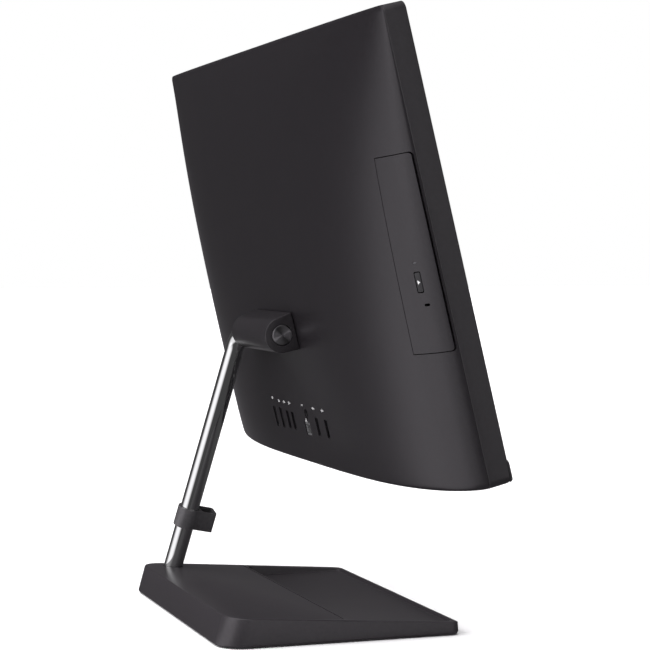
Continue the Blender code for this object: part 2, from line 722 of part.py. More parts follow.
def make_drive(home):
    low, high = DRIVE_CASE
    sheet = 0.0008
    case = piece("drive_case", box(low, high), steel(), home)
    inside = ((low[0] - 0.01, low[1] + sheet, low[2] + sheet), (high[0] - sheet, high[1] - sheet, high[2] - sheet))
    carve(case, box(*inside))

    back = TRAY_BACK + TRAY_THICK
    tray = piece("drive_tray", box((-0.2550, TRAY_BACK, 0.1010), (-0.1100, back, 0.2265)), dark_plastic(), home)
    middle = (DISC_CENTRE.x, DISC_CENTRE.z)
    carve(tray, prism(circle(DISC_RADIUS, 40, middle), "Y", back - 0.0012, back + 0.01))
    carve(tray, prism(circle(0.0105, 20, middle), "Y", TRAY_BACK + 0.0010, back + 0.01))
    x, z = middle
    carve(tray, box((x - 0.0090, TRAY_BACK - 0.01, z - 0.0593), (x + 0.0090, back + 0.01, z - 0.0195)))

    hub = prism(circle(0.0100, 20), "Y", TRAY_BACK + 0.0013, TRAY_BACK + 0.0046)
    spindle = piece("disc_spindle", hub, steel(), home, (x, 0.0, z))
    weld_on(spindle, prism(circle(0.0073, 20), "Y", TRAY_BACK + 0.0040, TRAY_BACK + 0.0062))
    sled = box((-0.0085, TRAY_BACK + 0.0004, -0.0040), (0.0085, TRAY_BACK + 0.0030, 0.0040))
    piece("laser_sled", sled, steel(), home, (x, 0.0, z - 0.0240))
    make_drive_bezel(home)


# ---------- electronics ----------
def hollow_connector(name, x, z, height, home, mat):
    """A metal-shelled connector with its tongue, opening to the rear."""
    half_w, half_h = PORT_W / 2, height / 2
    rim = PORT_RIM
    front = BOARD_TOP + GAP
    shell = piece(name, box((x - half_w - rim, front, z - half_h - rim), (x + half_w + rim, PORT_REAR, z + half_h + rim)),
                  mat, home)
    floor = PORT_REAR - 0.0120
    tongue, short = 0.0009, 0.0020
    left = box((x - half_w, floor, z - half_h), (x - tongue, 0.06, z + half_h))
    right = box((x + tongue, floor, z - half_h), (x + half_w, 0.06, z + half_h))
    tip = box((x - half_w + 0.0003, PORT_REAR - short, z - half_h), (x + half_w - 0.0003, 0.06, z + half_h))
    carve(shell, left, right, tip)


def make_connectors(home):
    metal = steel()
    for number, x in enumerate(HDMI_X, 1):
        hollow_connector(f"hdmi_connector_{number}", x, PORT_MID_Z, HDMI_H, home, metal)
    for number, x in enumerate(USB_X, 1):
        hollow_connector(f"usb_connector_{number}", x, PORT_MID_Z, USB_H, home, metal)

    x, z = NETWORK_MID
    half_w, half_h = NETWORK_OPEN[0] / 2, NETWORK_OPEN[1] / 2
    rim = PORT_RIM
    body = box((x - half_w - rim, BOARD_TOP + GAP, z - half_h - rim), (x + half_w + rim, PORT_REAR, z + half_h + rim))
    jack = piece("network_jack", body, metal, home)
    carve(jack, box((x - half_w, PORT_REAR - 0.0140, z - half_h), (x + half_w, 0.06, z + half_h)))

    px, pz = POWER_JACK_MID
    barrel = piece("power_jack", prism(circle(0.0037, 16, (px, pz)), "Y", BOARD_TOP + GAP, PORT_REAR),
                   dark_plastic(), home)
    carve(barrel, prism(circle(0.0029, 16, (px, pz)), "Y", PORT_REAR - 0.0110, 0.06))
    weld_on(barrel, prism(circle(0.0008, 8, (px, pz)), "Y", PORT_REAR - 0.0120, PORT_REAR - 0.0015))


def make_board(home):
    low_x, high_x, low_z, high_z = -0.098, 0.098, 0.016, 0.196
    outline = [(low_x, low_z), (high_x, low_z), (high_x, high_z - 0.030), (high_x - 0.020, high_z - 0.030),
               (high_x - 0.020, high_z), (low_x, high_z)]
    board = piece("motherboard", prism(outline, "Y", BOARD_BACK, BOARD_TOP), board_green(), home)
    holes = [prism(circle(0.0017, 10, (x, z)), "Y", 0.02, 0.04)
             for x in (low_x + 0.005, high_x - 0.005) for z in (low_z + 0.005, high_z - 0.036)]
    carve(board, joined(*holes))

    for number, back in ((1, BOARD_TOP + GAP), (2, BOARD_TOP + 0.0052)):
        piece(f"memory_module_{number}", memory_shape(back), board_green(), home)
    front = BOARD_TOP + GAP
    piece("solid_state_drive", stepped_card(-0.092, -0.012, 0.122, 0.144, front, 3), board_green(), home)
    piece("wireless_card", stepped_card(-0.092, -0.062, 0.094, 0.116, front, 1), board_green(), home)
    piece("coin_cell", prism(circle(0.0100, 24, (-0.074, 0.072)), "Y", front, front + 0.0032), steel(), home)


def stepped_card(x0, x1, z0, z1, front, chips):
    """A thin card with a row of raised chips, as one stepped profile."""
    board, chip = front + 0.0010, front + 0.0026
    pitch = (x1 - x0) / chips
    points = [(x0, front), (x0, board)]
    for i in range(chips):
        start = x0 + pitch * i + pitch * 0.2
        end = start + pitch * 0.6
        points += [(start, board), (start, chip), (end, chip), (end, board)]
    points += [(x1, board), (x1, front)]
    return prism(points, "Z", z0, z1)


def memory_shape(front):
    return stepped_card(-0.0900, -0.0224, 0.155, 0.185, front, 4)


def make_cooling(home):
    front = BOARD_TOP + GAP
    plate = piece("heat_spreader", box((0.012, front, 0.132), (0.058, front + 0.0045, 0.178), 0.0005), steel(), home)
    plate.data.materials[0] = material("aluminium", (0.70, 0.71, 0.72), 0.40, 1.0)
    pipe = [Vector((0.020, 0, 0.155)), Vector((0.050, 0, 0.155)), Vector((0.072, 0, 0.160)),
            Vector((0.088, 0, 0.176)), Vector((0.100, 0, 0.198)), Vector((0.116, 0, 0.209)),
            Vector((0.136, 0, 0.2115)), Vector((0.158, 0, 0.2115))]
    for point in pipe:
        point.y = front + 0.0045 + 0.0028
    piece("heat_pipe", sweep(pipe, 0.0024, 10), material("copper", (0.72, 0.40, 0.25), 0.30, 1.0), home)
    piece("fin_stack", comb(0.116, 0.174, 0.0285, 0.0362, 14, 0.204, 0.219), steel(), home)

    x, y, z = FAN_CENTRE
    half, wall, depth = FAN_RADIUS + 0.003, 0.0012, 0.0130
    low_y = y - depth / 2
    case = piece("fan_housing", box((x - half, low_y, z - half), (x + half, low_y + depth, z + half - 0.002)),
                 dark_plastic(), home)
    scroll = prism(circle(FAN_RADIUS + 0.0015, 32, (x, z)), "Y", low_y + wall, low_y + depth - wall)
    outlet = box((x - half + 0.004, low_y + wall, z), (x + half - 0.004, low_y + depth - wall, z + half + 0.01))
    inlet = prism(circle(FAN_RADIUS * 0.62, 24, (x, z)), "Y", low_y + wall * 2, low_y + depth + 0.01)
    carve(case, scroll, outlet, inlet)
    piece("fan_rotor", fan_shape(depth - 2 * wall), dark_plastic(), home, FAN_CENTRE)


def comb(x0, x1, y0, y1, fins, z0, z1):
    """A fin stack: a thin plate that carries a row of upright fins."""
    base = y0 + 0.0008
    pitch = (x1 - x0) / fins
    points = [(x0, y0)]
    for i in range(fins):
        start = x0 + pitch * i
        points += [(start, y1), (start + pitch * 0.25, y1), (start + pitch * 0.25, base)]
        if i < fins - 1:
            points.append((start + pitch, base))
    points.append((x0 + pitch * (fins - 0.75), y0))
    return prism(points, "Z", z0, z1)


def fan_shape(depth):
    """Hub with straight raked blades, as one star-shaped prism about the fan's axis."""
    hub, tip = FAN_RADIUS * 0.42, FAN_RADIUS * 0.93
    points = []
    for i in range(FAN_BLADES):
        angle = 2 * pi * i / FAN_BLADES
        for radius, shift in ((hub, 0.00), (tip, 0.30), (tip, 0.34), (hub, 0.12)):
            points.append((radius * cos(angle + shift), radius * sin(angle + shift)))
    half = depth / 2 - 0.0008
    return prism(points, "Y", -half, half)


def make_storage_and_sound(home):
    caddy = piece("drive_caddy", box((0.1290, 0.0110, 0.0180), (0.2370, 0.0230, 0.0940)), steel(), home)
    carve(caddy, box((0.1302, 0.0122, 0.0192), (0.2358, 0.0300, 0.0928)))
    piece("hard_drive", box((0.1330, 0.0125, 0.0210), (0.2332, 0.0195, 0.0910), 0.0006),
          material("aluminium", (0.70, 0.71, 0.72), 0.40, 1.0), home)
    for side, sign in (("left", -1), ("right", 1)):
        centre = sign * 0.2050
        low, high = (centre - 0.030, 0.0245, 0.0060), (centre + 0.030, 0.0335, 0.0165)
        box_speaker = piece(f"speaker_{side}", box(low, high, 0.0008), dark_plastic(), home)
        carve(box_speaker, prism(circle(0.0040, 16, (centre, 0.01125)), "Y", 0.0320, 0.05))
        antenna = box((sign * 0.150 - 0.020, 0.0125, 0.3170), (sign * 0.150 + 0.020, 0.0131, 0.3235))
        piece(f"antenna_{side}", antenna, material("copper", (0.72, 0.40, 0.25), 0.30, 1.0), home)


def make_mid_frame(home):
    plate = piece("mid_frame", box((-0.2660, 0.0092, 0.0040), (0.2660, 0.0104, 0.3160)), steel(), home)
    windows = [prism(round_rect(x, 0.235, x + 0.080, 0.300, 0.006, 3), "Y", 0.0, 0.02)
               for x in (-0.240, -0.140, -0.040, 0.060, 0.160)]
    carve(plate, joined(*windows))


# ---------- assembly ----------
def build():
    clear_scene()
    stand = (empty("stand", (0.0, 0.0, 0.0)), Vector((0.0, 0.0, 0.0)))
    tilt_axis = empty("tilt_axis", (0.0, AXIS_Y, AXIS_Z), rotation=(-TILT, 0.0, 0.0))
    display = (tilt_axis, Vector((0.0, -AXIS_BACK, -AXIS_UP)))

    make_base(stand)
    make_pole(stand)
    make_cable_clip(stand)
    make_rear_cover(display)
    make_front(display)
    make_mid_frame(display)
    make_camera(display)
    make_power_button(display)
    make_hinge(display)
    make_drive(display)
    make_board(display)
    make_connectors(display)
    make_cooling(display)
    make_storage_and_sound(display)


build()
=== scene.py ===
import json
from math import atan2, cos, pi, radians, sin, sqrt, tan

import bmesh
import bpy
from mathutils import Matrix, Vector


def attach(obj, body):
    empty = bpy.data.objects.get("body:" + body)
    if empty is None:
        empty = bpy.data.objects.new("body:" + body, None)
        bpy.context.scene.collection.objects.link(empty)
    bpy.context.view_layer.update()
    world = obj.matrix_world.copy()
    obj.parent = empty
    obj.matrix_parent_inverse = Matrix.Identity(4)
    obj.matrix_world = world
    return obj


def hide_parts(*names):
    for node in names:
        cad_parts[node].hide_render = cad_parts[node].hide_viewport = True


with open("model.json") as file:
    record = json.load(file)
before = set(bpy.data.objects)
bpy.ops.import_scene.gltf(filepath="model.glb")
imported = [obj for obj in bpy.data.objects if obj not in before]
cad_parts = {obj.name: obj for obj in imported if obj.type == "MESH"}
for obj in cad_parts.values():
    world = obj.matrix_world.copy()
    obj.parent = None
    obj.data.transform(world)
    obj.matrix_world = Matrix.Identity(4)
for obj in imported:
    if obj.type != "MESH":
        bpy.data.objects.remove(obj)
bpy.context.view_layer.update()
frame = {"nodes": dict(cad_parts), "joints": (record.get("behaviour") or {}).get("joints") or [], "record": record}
NODES = frame["nodes"]
JOINTS = {joint["name"]: joint for joint in frame["joints"]}

# ---------- driving dimensions, in metres: the part's own, and the room for detail added here ----------
GAP = 0.0003
SURFACE_TOLERANCE = 3e-5          # how near a point of the cover's outer surface lies to its formula

BASE_HALF_X = 0.1329
BASE_FRONT_Y = -0.0925
BASE_REAR_Y = 0.0925
BASE_TOP_FRONT_Y = -0.0920
BASE_TOP_REAR_Y = 0.0870
BASE_TOP_FRONT_Z = 0.0096
BASE_TOP_REAR_Z = 0.0228
BASE_BOTTOM_Z = 0.0008
BASE_REAR_CORNER = 0.020
BASE_FRONT_CORNER = 0.007
BASE_WALL = 0.0025
BASE_ROUND = 0.0020
TRAY_HALF_X = 0.1260
TRAY_FRONT_Y = -0.0882
TRAY_REAR_Y = -0.0045
TRAY_FLOOR_Z = 0.0077
TRAY_CORNER = 0.006

POLE_RADIUS = 0.00775
POLE_BORE = 0.00575
POLE_BEND = 0.022
POLE_FOOT = Vector((0.1175, 0.0623, 0.0210))
POLE_KNEE_X = 0.067
POLE_END_X = -0.0437
POLE_SINK = 0.0113                # how far the pole reaches down into the base
POLE_ROOM = 0.00035               # room round the pole in the hinge and the base
CLIP_UP_LEG = 0.045

TILT = radians(13.9)
AXIS_Y, AXIS_Z = JOINTS["display_tilt"]["pos_m"][1:]
AXIS_BACK = 0.0643
AXIS_UP = 0.1096
PANEL_W = 0.5408
PANEL_H = 0.3274
FRAME_WALL = 0.0022
FRAME_LIP = 0.0015
FRAME_CORNER = 0.006
SCREEN_W = 0.5270
SCREEN_H = 0.2965
CHIN_H = 0.0239
CHIN_BAR_H = 0.0160
CHIN_PROUD = 0.0012
CHIN_CHAMFER_Z = 0.0040
CHIN_CHAMFER_Y = 0.0045
CAMERA_Z = PANEL_H - 0.0037
FRONT_CUT = (-0.002, 0.004)       # y range of a cut through the front of the frame

COVER_FRONT = 0.0156
COVER_HALF_W = 0.2691
COVER_SKIN = 0.0024
COVER_TOP_BULGE = 0.0092
COVER_MAX_BULGE = 0.0378
COVER_FULL_Z = 0.030
COVER_LOW_LOSS = 0.0012
COVER_END_ROUND = 0.005
COVER_EDGE_ROUND = 0.0025

HINGE_LEFT_X = -0.0450
HINGE_RIGHT_X = 0.0455
HINGE_RADIUS = 0.0136
HINGE_FACE = 0.0532
HINGE_TOP_FLARE = 0.0153
HINGE_BOTTOM_FLARE = 0.0139

DRIVE_LOW_Z = 0.0963
DRIVE_HIGH_Z = 0.2311
DRIVE_INNER_X = -0.2360
DRIVE_FRONT_Y = 0.0168
DRIVE_CORNER = 0.0028
BUTTON_X, BUTTON_Z = -0.2548, 0.14505
PIN_X, PIN_Z = -0.2576, 0.1294
LAMP_X, LAMP_Z = -0.2546, 0.1583
BEZEL_CUT = (-0.006, 0.004)       # range of a cut through the bezel, along its outward direction
DISC_X, DISC_Z = -0.1720, 0.16375
DRIVE_TRAY_Y = 0.0194

HDMI_X = (0.0604, 0.0440)
USB_X = (0.0270, 0.0140, -0.0450, -0.0663)
PORT_MID_Z = 0.0340
HDMI_H = 0.0158
USB_H = 0.0132
PORT_W = 0.0046
PORT_RIM = 0.0004
PORT_FRONT = 0.0320
PORT_REAR = 0.0526
PORT_CUT = (0.045, 0.060)         # y range of a cut through the cover's skin at the sockets
NETWORK_MID = (-0.0192, 0.0300)
NETWORK_OPEN = (0.0116, 0.0096)
POWER_JACK_MID = (-0.0230, 0.0425)
POWER_JACK_RADIUS = 0.0037
MARK_Z = 0.0484
INK_DEPTH = 0.00022

# The display's own upright frame, leaning back on the tilt axis
DISPLAY = (Matrix.Translation((0.0, AXIS_Y, AXIS_Z)) @ Matrix.Rotation(-TILT, 4, "X")
           @ Matrix.Translation((0.0, -AXIS_BACK, -AXIS_UP)))
WORLD = Matrix.Identity(4)


# ---------- materials ----------
class Nodes:
    """A short way to add nodes to a material and join them."""

    def __init__(self, name):
        self.material = bpy.data.materials.new(name)
        self.material.use_nodes = True
        self.tree = self.material.node_tree
        self.shader = self.tree.nodes["Principled BSDF"]

    def add(self, kind, **values):
        node = self.tree.nodes.new(kind)
        for key, value in values.items():
            if hasattr(node, key):
                setattr(node, key, value)
            else:
                node.inputs[key.replace("_", " ").title() if key.islower() else key].default_value = value
        return node

    def link(self, source, target):
        self.tree.links.new(source, target)

    def place(self, kind="Object"):
        return self.add("ShaderNodeTexCoord").outputs[kind]

    def noise(self, scale, detail=2.0, roughness=0.5, coordinates=None):
        node = self.add("ShaderNodeTexNoise", scale=scale, detail=detail, roughness=roughness)
        self.link(coordinates or self.place(), node.inputs["Vector"])
        return node.outputs["Fac"]

    def span(self, source, low, high, from_low=0.0, from_high=1.0):
        node = self.add("ShaderNodeMapRange")
        limits = {"From Min": from_low, "From Max": from_high, "To Min": low, "To Max": high}
        for key, value in limits.items():
            node.inputs[key].default_value = value
        self.link(source, node.inputs["Value"])
        return node.outputs["Result"]

    def mix(self, factor, first, second):
        node = self.add("ShaderNodeMix")
        node.data_type = "RGBA"
        self.link(factor, node.inputs["Factor"])
        node.inputs["A"].default_value = (*first, 1.0)
        node.inputs["B"].default_value = (*second, 1.0)
        return node.outputs["Result"]

    def bump(self, *layers):
        """Each layer is a height source, its distance in metres and its strength."""
        normal = None
        for height, distance, strength in layers:
            node = self.add("ShaderNodeBump")
            node.inputs["Distance"].default_value = distance
            node.inputs["Strength"].default_value = strength
            self.link(height, node.inputs["Height"])
            if normal:
                self.link(normal, node.inputs["Normal"])
            normal = node.outputs["Normal"]
        self.link(normal, self.shader.inputs["Normal"])

    def set(self, **values):
        names = {"color": "Base Color", "roughness": "Roughness", "metallic": "Metallic", "ior": "IOR",
                 "specular": "Specular IOR Level", "coat": "Coat Weight", "coat_roughness": "Coat Roughness",
                 "anisotropic": "Anisotropic", "transmission": "Transmission Weight"}
        for key, value in values.items():
            socket = self.shader.inputs[names[key]]
            if hasattr(value, "is_linked"):
                self.link(value, socket)
            else:
                socket.default_value = (*value, 1.0) if key == "color" else value


def grained_plastic(name, color, roughness, grain=1500.0, depth=0.00004, specular=0.5):
    """Moulded plastic with a fine spark-eroded grain and slow changes of sheen from handling."""
    m = Nodes(name)
    slow = m.noise(9.0, 3.0)
    shade = [c * 0.75 for c in color], [c * 1.25 for c in color]
    m.set(color=m.mix(m.noise(420.0, 2.0), *shade))
    m.set(roughness=m.span(slow, roughness - 0.03, roughness + 0.03), specular=specular)
    m.bump((m.noise(grain, 2.0), depth, 0.22), (m.noise(grain / 3, 1.0), depth, 0.08))
    return m.material


def polished_metal(name, color, roughness):
    """Plated metal: a mirror with faint polishing waves and a few soft smears."""
    m = Nodes(name)
    smear = m.span(m.noise(26.0, 4.0), roughness, roughness + 0.05, 0.45, 0.85)
    m.set(color=color, metallic=1.0, roughness=smear)
    m.bump((m.noise(60.0, 1.0), 0.0002, 0.02))
    return m.material


def sheet_metal(name, color, roughness, scale=(30.0, 900.0, 30.0)):
    """Rolled or brushed sheet with fine lines along one direction."""
    m = Nodes(name)
    stretch = m.add("ShaderNodeMapping")
    stretch.inputs["Scale"].default_value = scale
    m.link(m.place(), stretch.inputs["Vector"])
    lines = m.noise(3.0, 4.0, 0.6, stretch.outputs["Vector"])
    dark = [c * 0.8 for c in color]
    m.set(color=m.mix(m.span(lines, 0.0, 1.0, 0.3, 0.7), dark, color), metallic=1.0)
    m.set(roughness=m.span(lines, roughness - 0.06, roughness + 0.10, 0.3, 0.7))
    m.bump((lines, 0.00004, 0.25))
    return m.material


def turned_disc(name, color):
    """A faced disc: concentric tool marks round the local X axis, and a painted bow-tie highlight: its colour is
    bright along local Y and dark across it.
    """
    m = Nodes(name)
    split = m.add("ShaderNodeSeparateXYZ")
    m.link(m.place(), split.inputs[0])
    squares = []
    for part in ("Y", "Z"):
        node = m.add("ShaderNodeMath", operation="MULTIPLY")
        m.link(split.outputs[part], node.inputs[0])
        m.link(split.outputs[part], node.inputs[1])
        squares.append(node.outputs[0])
    total = m.add("ShaderNodeMath", operation="ADD")
    m.link(squares[0], total.inputs[0])
    m.link(squares[1], total.inputs[1])
    root = m.add("ShaderNodeMath", operation="SQRT")
    m.link(total.outputs[0], root.inputs[0])
    rings = m.add("ShaderNodeTexNoise", noise_dimensions="1D", detail=2.0)
    rings.inputs["Scale"].default_value = 9000.0
    m.link(root.outputs[0], rings.inputs["W"])
    tangent = m.add("ShaderNodeTangent", direction_type="RADIAL", axis="X")
    m.link(tangent.outputs[0], m.shader.inputs["Tangent"])
    share = m.add("ShaderNodeMath", operation="DIVIDE")
    m.link(squares[0], share.inputs[0])
    m.link(total.outputs[0], share.inputs[1])
    # painted highlight: the colour runs from a fifth of the metal's brightness to full where local Y leads, a
    # bow-tie highlight painted on the disc
    sheen = m.span(share.outputs[0], 0.0, 1.0, 0.50, 0.98)
    m.set(color=m.mix(sheen, [c * 0.22 for c in color], color), metallic=1.0, anisotropic=0.96)
    m.set(roughness=m.span(rings.outputs["Fac"], 0.36, 0.44, 0.3, 0.7))
    m.bump((rings.outputs["Fac"], 0.00003, 0.15))
    return m.material


def soft_rubber(name):
    """Dull black rubber with a fine tooth."""
    m = Nodes(name)
    m.set(color=m.mix(m.noise(300.0, 3.0), (0.012, 0.012, 0.012), (0.030, 0.030, 0.030)), roughness=0.85)
    m.bump((m.noise(2500.0, 2.0), 0.00005, 0.4))
    return m.material


def circuit_board(name, color=(0.010, 0.055, 0.032)):
    """Solder mask with fine copper tracks showing through."""
    m = Nodes(name)
    cells = m.add("ShaderNodeTexVoronoi", distance="CHEBYCHEV", feature="F1")
    cells.inputs["Scale"].default_value = 260.0
    m.link(m.place(), cells.inputs["Vector"])
    track = m.span(cells.outputs["Distance"], 0.0, 1.0, 0.34, 0.38)
    bright = [c * 2.4 + 0.01 for c in color]
    m.set(color=m.mix(track, color, bright), roughness=0.38)
    m.bump((track, 0.00003, 0.4))
    return m.material


def matte_screen(name):
    """Anti-glare film over a switched-off panel."""
    m = Nodes(name)
    m.set(color=m.mix(m.noise(6.0, 2.0), (0.0065, 0.0065, 0.0080), (0.0090, 0.0090, 0.0105)))
    m.set(roughness=m.span(m.noise(2600.0, 2.0), 0.24, 0.32), specular=0.5)
    m.bump((m.noise(3200.0, 1.0), 0.00001, 0.10))
    return m.material


def printed_ink(name, color, roughness=0.5):
    """An even colour with a slightly rough surface, for ink and plain moulded plastic."""
    m = Nodes(name)
    m.set(color=m.mix(m.noise(900.0, 2.0), [c * 0.88 for c in color], color), roughness=roughness)
    m.bump((m.noise(2500.0, 1.0), 0.00002, 0.2))
    return m.material


def clear_lamp(name, color):
    """A glossy window over a lamp or lens."""
    m = Nodes(name)
    m.set(color=m.mix(m.noise(500.0), [c * 0.8 for c in color], color), roughness=0.18, coat=0.6)
    m.bump((m.noise(800.0), 0.00002, 0.1))
    return m.material


CASE = grained_plastic("case_plastic", (0.0115, 0.0102, 0.0118), 0.295)
CASE_SIDE = grained_plastic("case_side_plastic", (0.0130, 0.0118, 0.0132), 0.34, 1900.0)
DARK = grained_plastic("dark_plastic", (0.0100, 0.0100, 0.0108), 0.38, 1900.0, 0.00003)
BASE = grained_plastic("base_plastic", (0.0240, 0.0218, 0.0243), 0.31)
HINGE = grained_plastic("hinge_plastic", (0.0158, 0.0144, 0.0161), 0.31, 1900.0)
SMOKED = grained_plastic("smoked_plastic", (0.055, 0.053, 0.056), 0.16, 900.0, 0.00001)
CHROME = polished_metal("chrome", (0.82, 0.85, 0.82), 0.02)
NICKEL = polished_metal("nickel_plate", (0.60, 0.59, 0.57), 0.22)
STEEL = sheet_metal("steel_sheet", (0.52, 0.53, 0.55), 0.34)
ALUMINIUM = sheet_metal("aluminium_sheet", (0.68, 0.69, 0.70), 0.38, (900.0, 30.0, 30.0))
COPPER = sheet_metal("copper", (0.72, 0.40, 0.25), 0.30)
GOLD = polished_metal("gold_contact", (0.80, 0.58, 0.26), 0.20)
DISC = turned_disc("turned_disc", (0.95, 0.95, 0.96))
RUBBER = soft_rubber("rubber")
BOARD = circuit_board("circuit_board")
SCREEN = matte_screen("matte_screen")
INK = printed_ink("white_ink", (0.62, 0.62, 0.62))
TONGUE = printed_ink("tongue_plastic", (0.055, 0.055, 0.060), 0.40)
JACK_GREY = printed_ink("network_jack_plastic", (0.15, 0.15, 0.153), 0.45)
SOCKET = polished_metal("darkened_socket_shell", (0.10, 0.10, 0.105), 0.30)
SOCKET_BRIGHT = polished_metal("plain_socket_shell", (0.34, 0.34, 0.345), 0.30)
LAMP = clear_lamp("lamp_window", (0.05, 0.05, 0.055))
LENS = clear_lamp("camera_lens", (0.004, 0.004, 0.010))


# ---------- shape helpers, each returns a closed bmesh ----------
def oriented(axis, a, b, along):
    if axis == "X":
        return (along, a, b)
    if axis == "Y":
        return (a, along, b)
    return (a, b, along)


def box(low, high):
    bm = bmesh.new()
    size = [b - a for a, b in zip(low, high)]
    middle = [(a + b) / 2 for a, b in zip(low, high)]
    bmesh.ops.create_cube(bm, size=1.0, matrix=Matrix.Translation(middle) @ Matrix.Diagonal((*size, 1.0)))
    return bm


def prism(outline, axis, low, high):
    bm = bmesh.new()
    first = [bm.verts.new(oriented(axis, a, b, low)) for a, b in outline]
    second = [bm.verts.new(oriented(axis, a, b, high)) for a, b in outline]
    bm.faces.new(first)
    bm.faces.new(second)
    bridge(bm, [first, second])
    return bm


def bridge(bm, loops):
    for one, two in zip(loops, loops[1:]):
        count = len(one)
        for i in range(count):
            j = (i + 1) % count
            bm.faces.new((one[i], one[j], two[j], two[i]))


def circle(radius, sides, middle=(0.0, 0.0)):
    step = 2 * pi / sides
    return [(middle[0] + radius * cos(i * step), middle[1] + radius * sin(i * step)) for i in range(sides)]


def corner_arc(cx, cy, radius, start, steps):
    turns = [start + pi / 2 * i / steps for i in range(steps + 1)]
    return [(cx + radius * cos(t), cy + radius * sin(t)) for t in turns]


def round_rect(x0, y0, x1, y1, radius, steps=8):
    return (corner_arc(x1 - radius, y1 - radius, radius, 0.0, steps)
            + corner_arc(x0 + radius, y1 - radius, radius, pi / 2, steps)
            + corner_arc(x0 + radius, y0 + radius, radius, pi, steps)
            + corner_arc(x1 - radius, y0 + radius, radius, 3 * pi / 2, steps))


def turned(profile, axis, sides=48):
    """A solid of revolution. The profile is a list of radius and distance along the axis, end to end."""
    bm = bmesh.new()
    loops = []
    for radius, along in profile:
        loops.append([bm.verts.new(oriented(axis, a, b, along)) for a, b in circle(max(radius, 1e-6), sides)])
    bridge(bm, loops)
    bm.faces.new(loops[0])
    bm.faces.new(loops[-1])
    return bm


def sweep(path, radius, sides, bore=0.0):
    bm = bmesh.new()
    across = (path[1] - path[0]).cross(Vector((0.3, 1.0, 0.1))).normalized()
    outer, inner = [], []
    for i, point in enumerate(path):
        direction = (path[min(i + 1, len(path) - 1)] - path[max(i - 1, 0)]).normalized()
        across = (across - direction * across.dot(direction)).normalized()
        up = direction.cross(across)
        outer.append([bm.verts.new(point + across * a + up * b) for a, b in circle(radius, sides)])
        if bore:
            inner.append([bm.verts.new(point + across * a + up * b) for a, b in circle(bore, sides)])
    if bore:
        bridge(bm, outer + inner[::-1] + outer[:1])
    else:
        bridge(bm, outer)
        bm.faces.new(outer[0])
        bm.faces.new(outer[-1])
    return bm


def all_of(*shapes):
    """Several closed shapes in one bmesh."""
    total = bmesh.new()
    for shape in shapes:
        bmesh.ops.recalc_face_normals(shape, faces=shape.faces)
        scratch = bpy.data.meshes.new("scratch")
        shape.to_mesh(scratch)
        shape.free()
        total.from_mesh(scratch)
        bpy.data.meshes.remove(scratch)
    return total


def moved(shape, matrix):
    shape.transform(matrix)
    return shape


# ---------- turning shapes into pieces ----------
def scratch_object(name, bm):
    bmesh.ops.recalc_face_normals(bm, faces=bm.faces)
    if bm.calc_volume(signed=True) < 0:
        bmesh.ops.reverse_faces(bm, faces=bm.faces)
    mesh = bpy.data.meshes.new(name)
    bm.to_mesh(mesh)
    bm.free()
    obj = bpy.data.objects.new(name, mesh)
    bpy.context.scene.collection.objects.link(obj)
    return obj


def apply_modifiers(obj):
    """Swap the object's mesh for what its modifiers make of it."""
    graph = bpy.context.evaluated_depsgraph_get()
    made = bpy.data.meshes.new_from_object(obj.evaluated_get(graph))
    obj.modifiers.clear()
    old, obj.data = obj.data, made
    bpy.data.meshes.remove(old)


def boolean(obj, operation, shapes):
    """Cut shapes from a scratch object, or join them on, and apply the result."""
    for shape in shapes:
        helper = scratch_object("helper", shape)
        modifier = obj.modifiers.new("cut", "BOOLEAN")
        modifier.operation = operation
        modifier.solver = "EXACT"
        modifier.object = helper
        apply_modifiers(obj)
        bpy.data.objects.remove(helper, do_unlink=True)
    return obj


def cut(obj, *shapes):
    return boolean(obj, "DIFFERENCE", shapes)


def join(obj, *shapes):
    return boolean(obj, "UNION", shapes)


def shape_of(obj):
    """The bmesh of a scratch object, which is removed."""
    bm = bmesh.new()
    bm.from_mesh(obj.data)
    bpy.data.objects.remove(obj, do_unlink=True)
    return bm


def round_edges(obj, width, segments=3, angle=30):
    modifier = obj.modifiers.new("round", "BEVEL")
    modifier.width = width
    modifier.segments = segments
    modifier.limit_method = "ANGLE"
    modifier.angle_limit = radians(angle)
    modifier.use_clamp_overlap = True
    apply_modifiers(obj)
    return obj


def piece(obj, name, material, home, body, slot, *nodes, smooth=32):
    """Finish a scratch object as a named piece that rides on a body and may stand for CAD nodes."""
    obj.name = obj.data.name = name
    obj.data.materials.clear()
    obj.data.materials.append(material)
    obj.data.shade_smooth()
    obj.data.set_sharp_from_angle(angle=radians(smooth))
    obj.matrix_world = home
    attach(obj, body)
    if nodes:
        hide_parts(*nodes)
    return obj


# ---------- rear cover ----------
def shade_along_cover(obj):
    """Give the faces that lie on the cover's outer surface that surface's own normals."""
    mesh = obj.data
    normals = [corner.vector.copy() for corner in mesh.corner_normals]
    for face in mesh.polygons:
        points = [mesh.vertices[i].co for i in face.vertices]
        if max(abs(p.y - cover_surface(p.x, p.z)[0]) for p in points) > SURFACE_TOLERANCE:
            continue
        for corner, point in zip(face.loop_indices, points):
            normal = cover_normal(point.x, point.z)
            if normal.dot(face.normal) > 0.9:
                normals[corner] = normal
    mesh.normals_split_custom_set(normals)


def cover_normal(x, z):
    """The cover's outward direction at a point, from its slopes along x and z."""
    step = 0.0002
    across = (cover_surface(x + step, z)[0] - cover_surface(x - step, z)[0]) / (2 * step)
    upward = (cover_surface(x, z + step)[0] - cover_surface(x, z - step)[0]) / (2 * step)
    return Vector((-across, 1.0, -upward)).normalized()


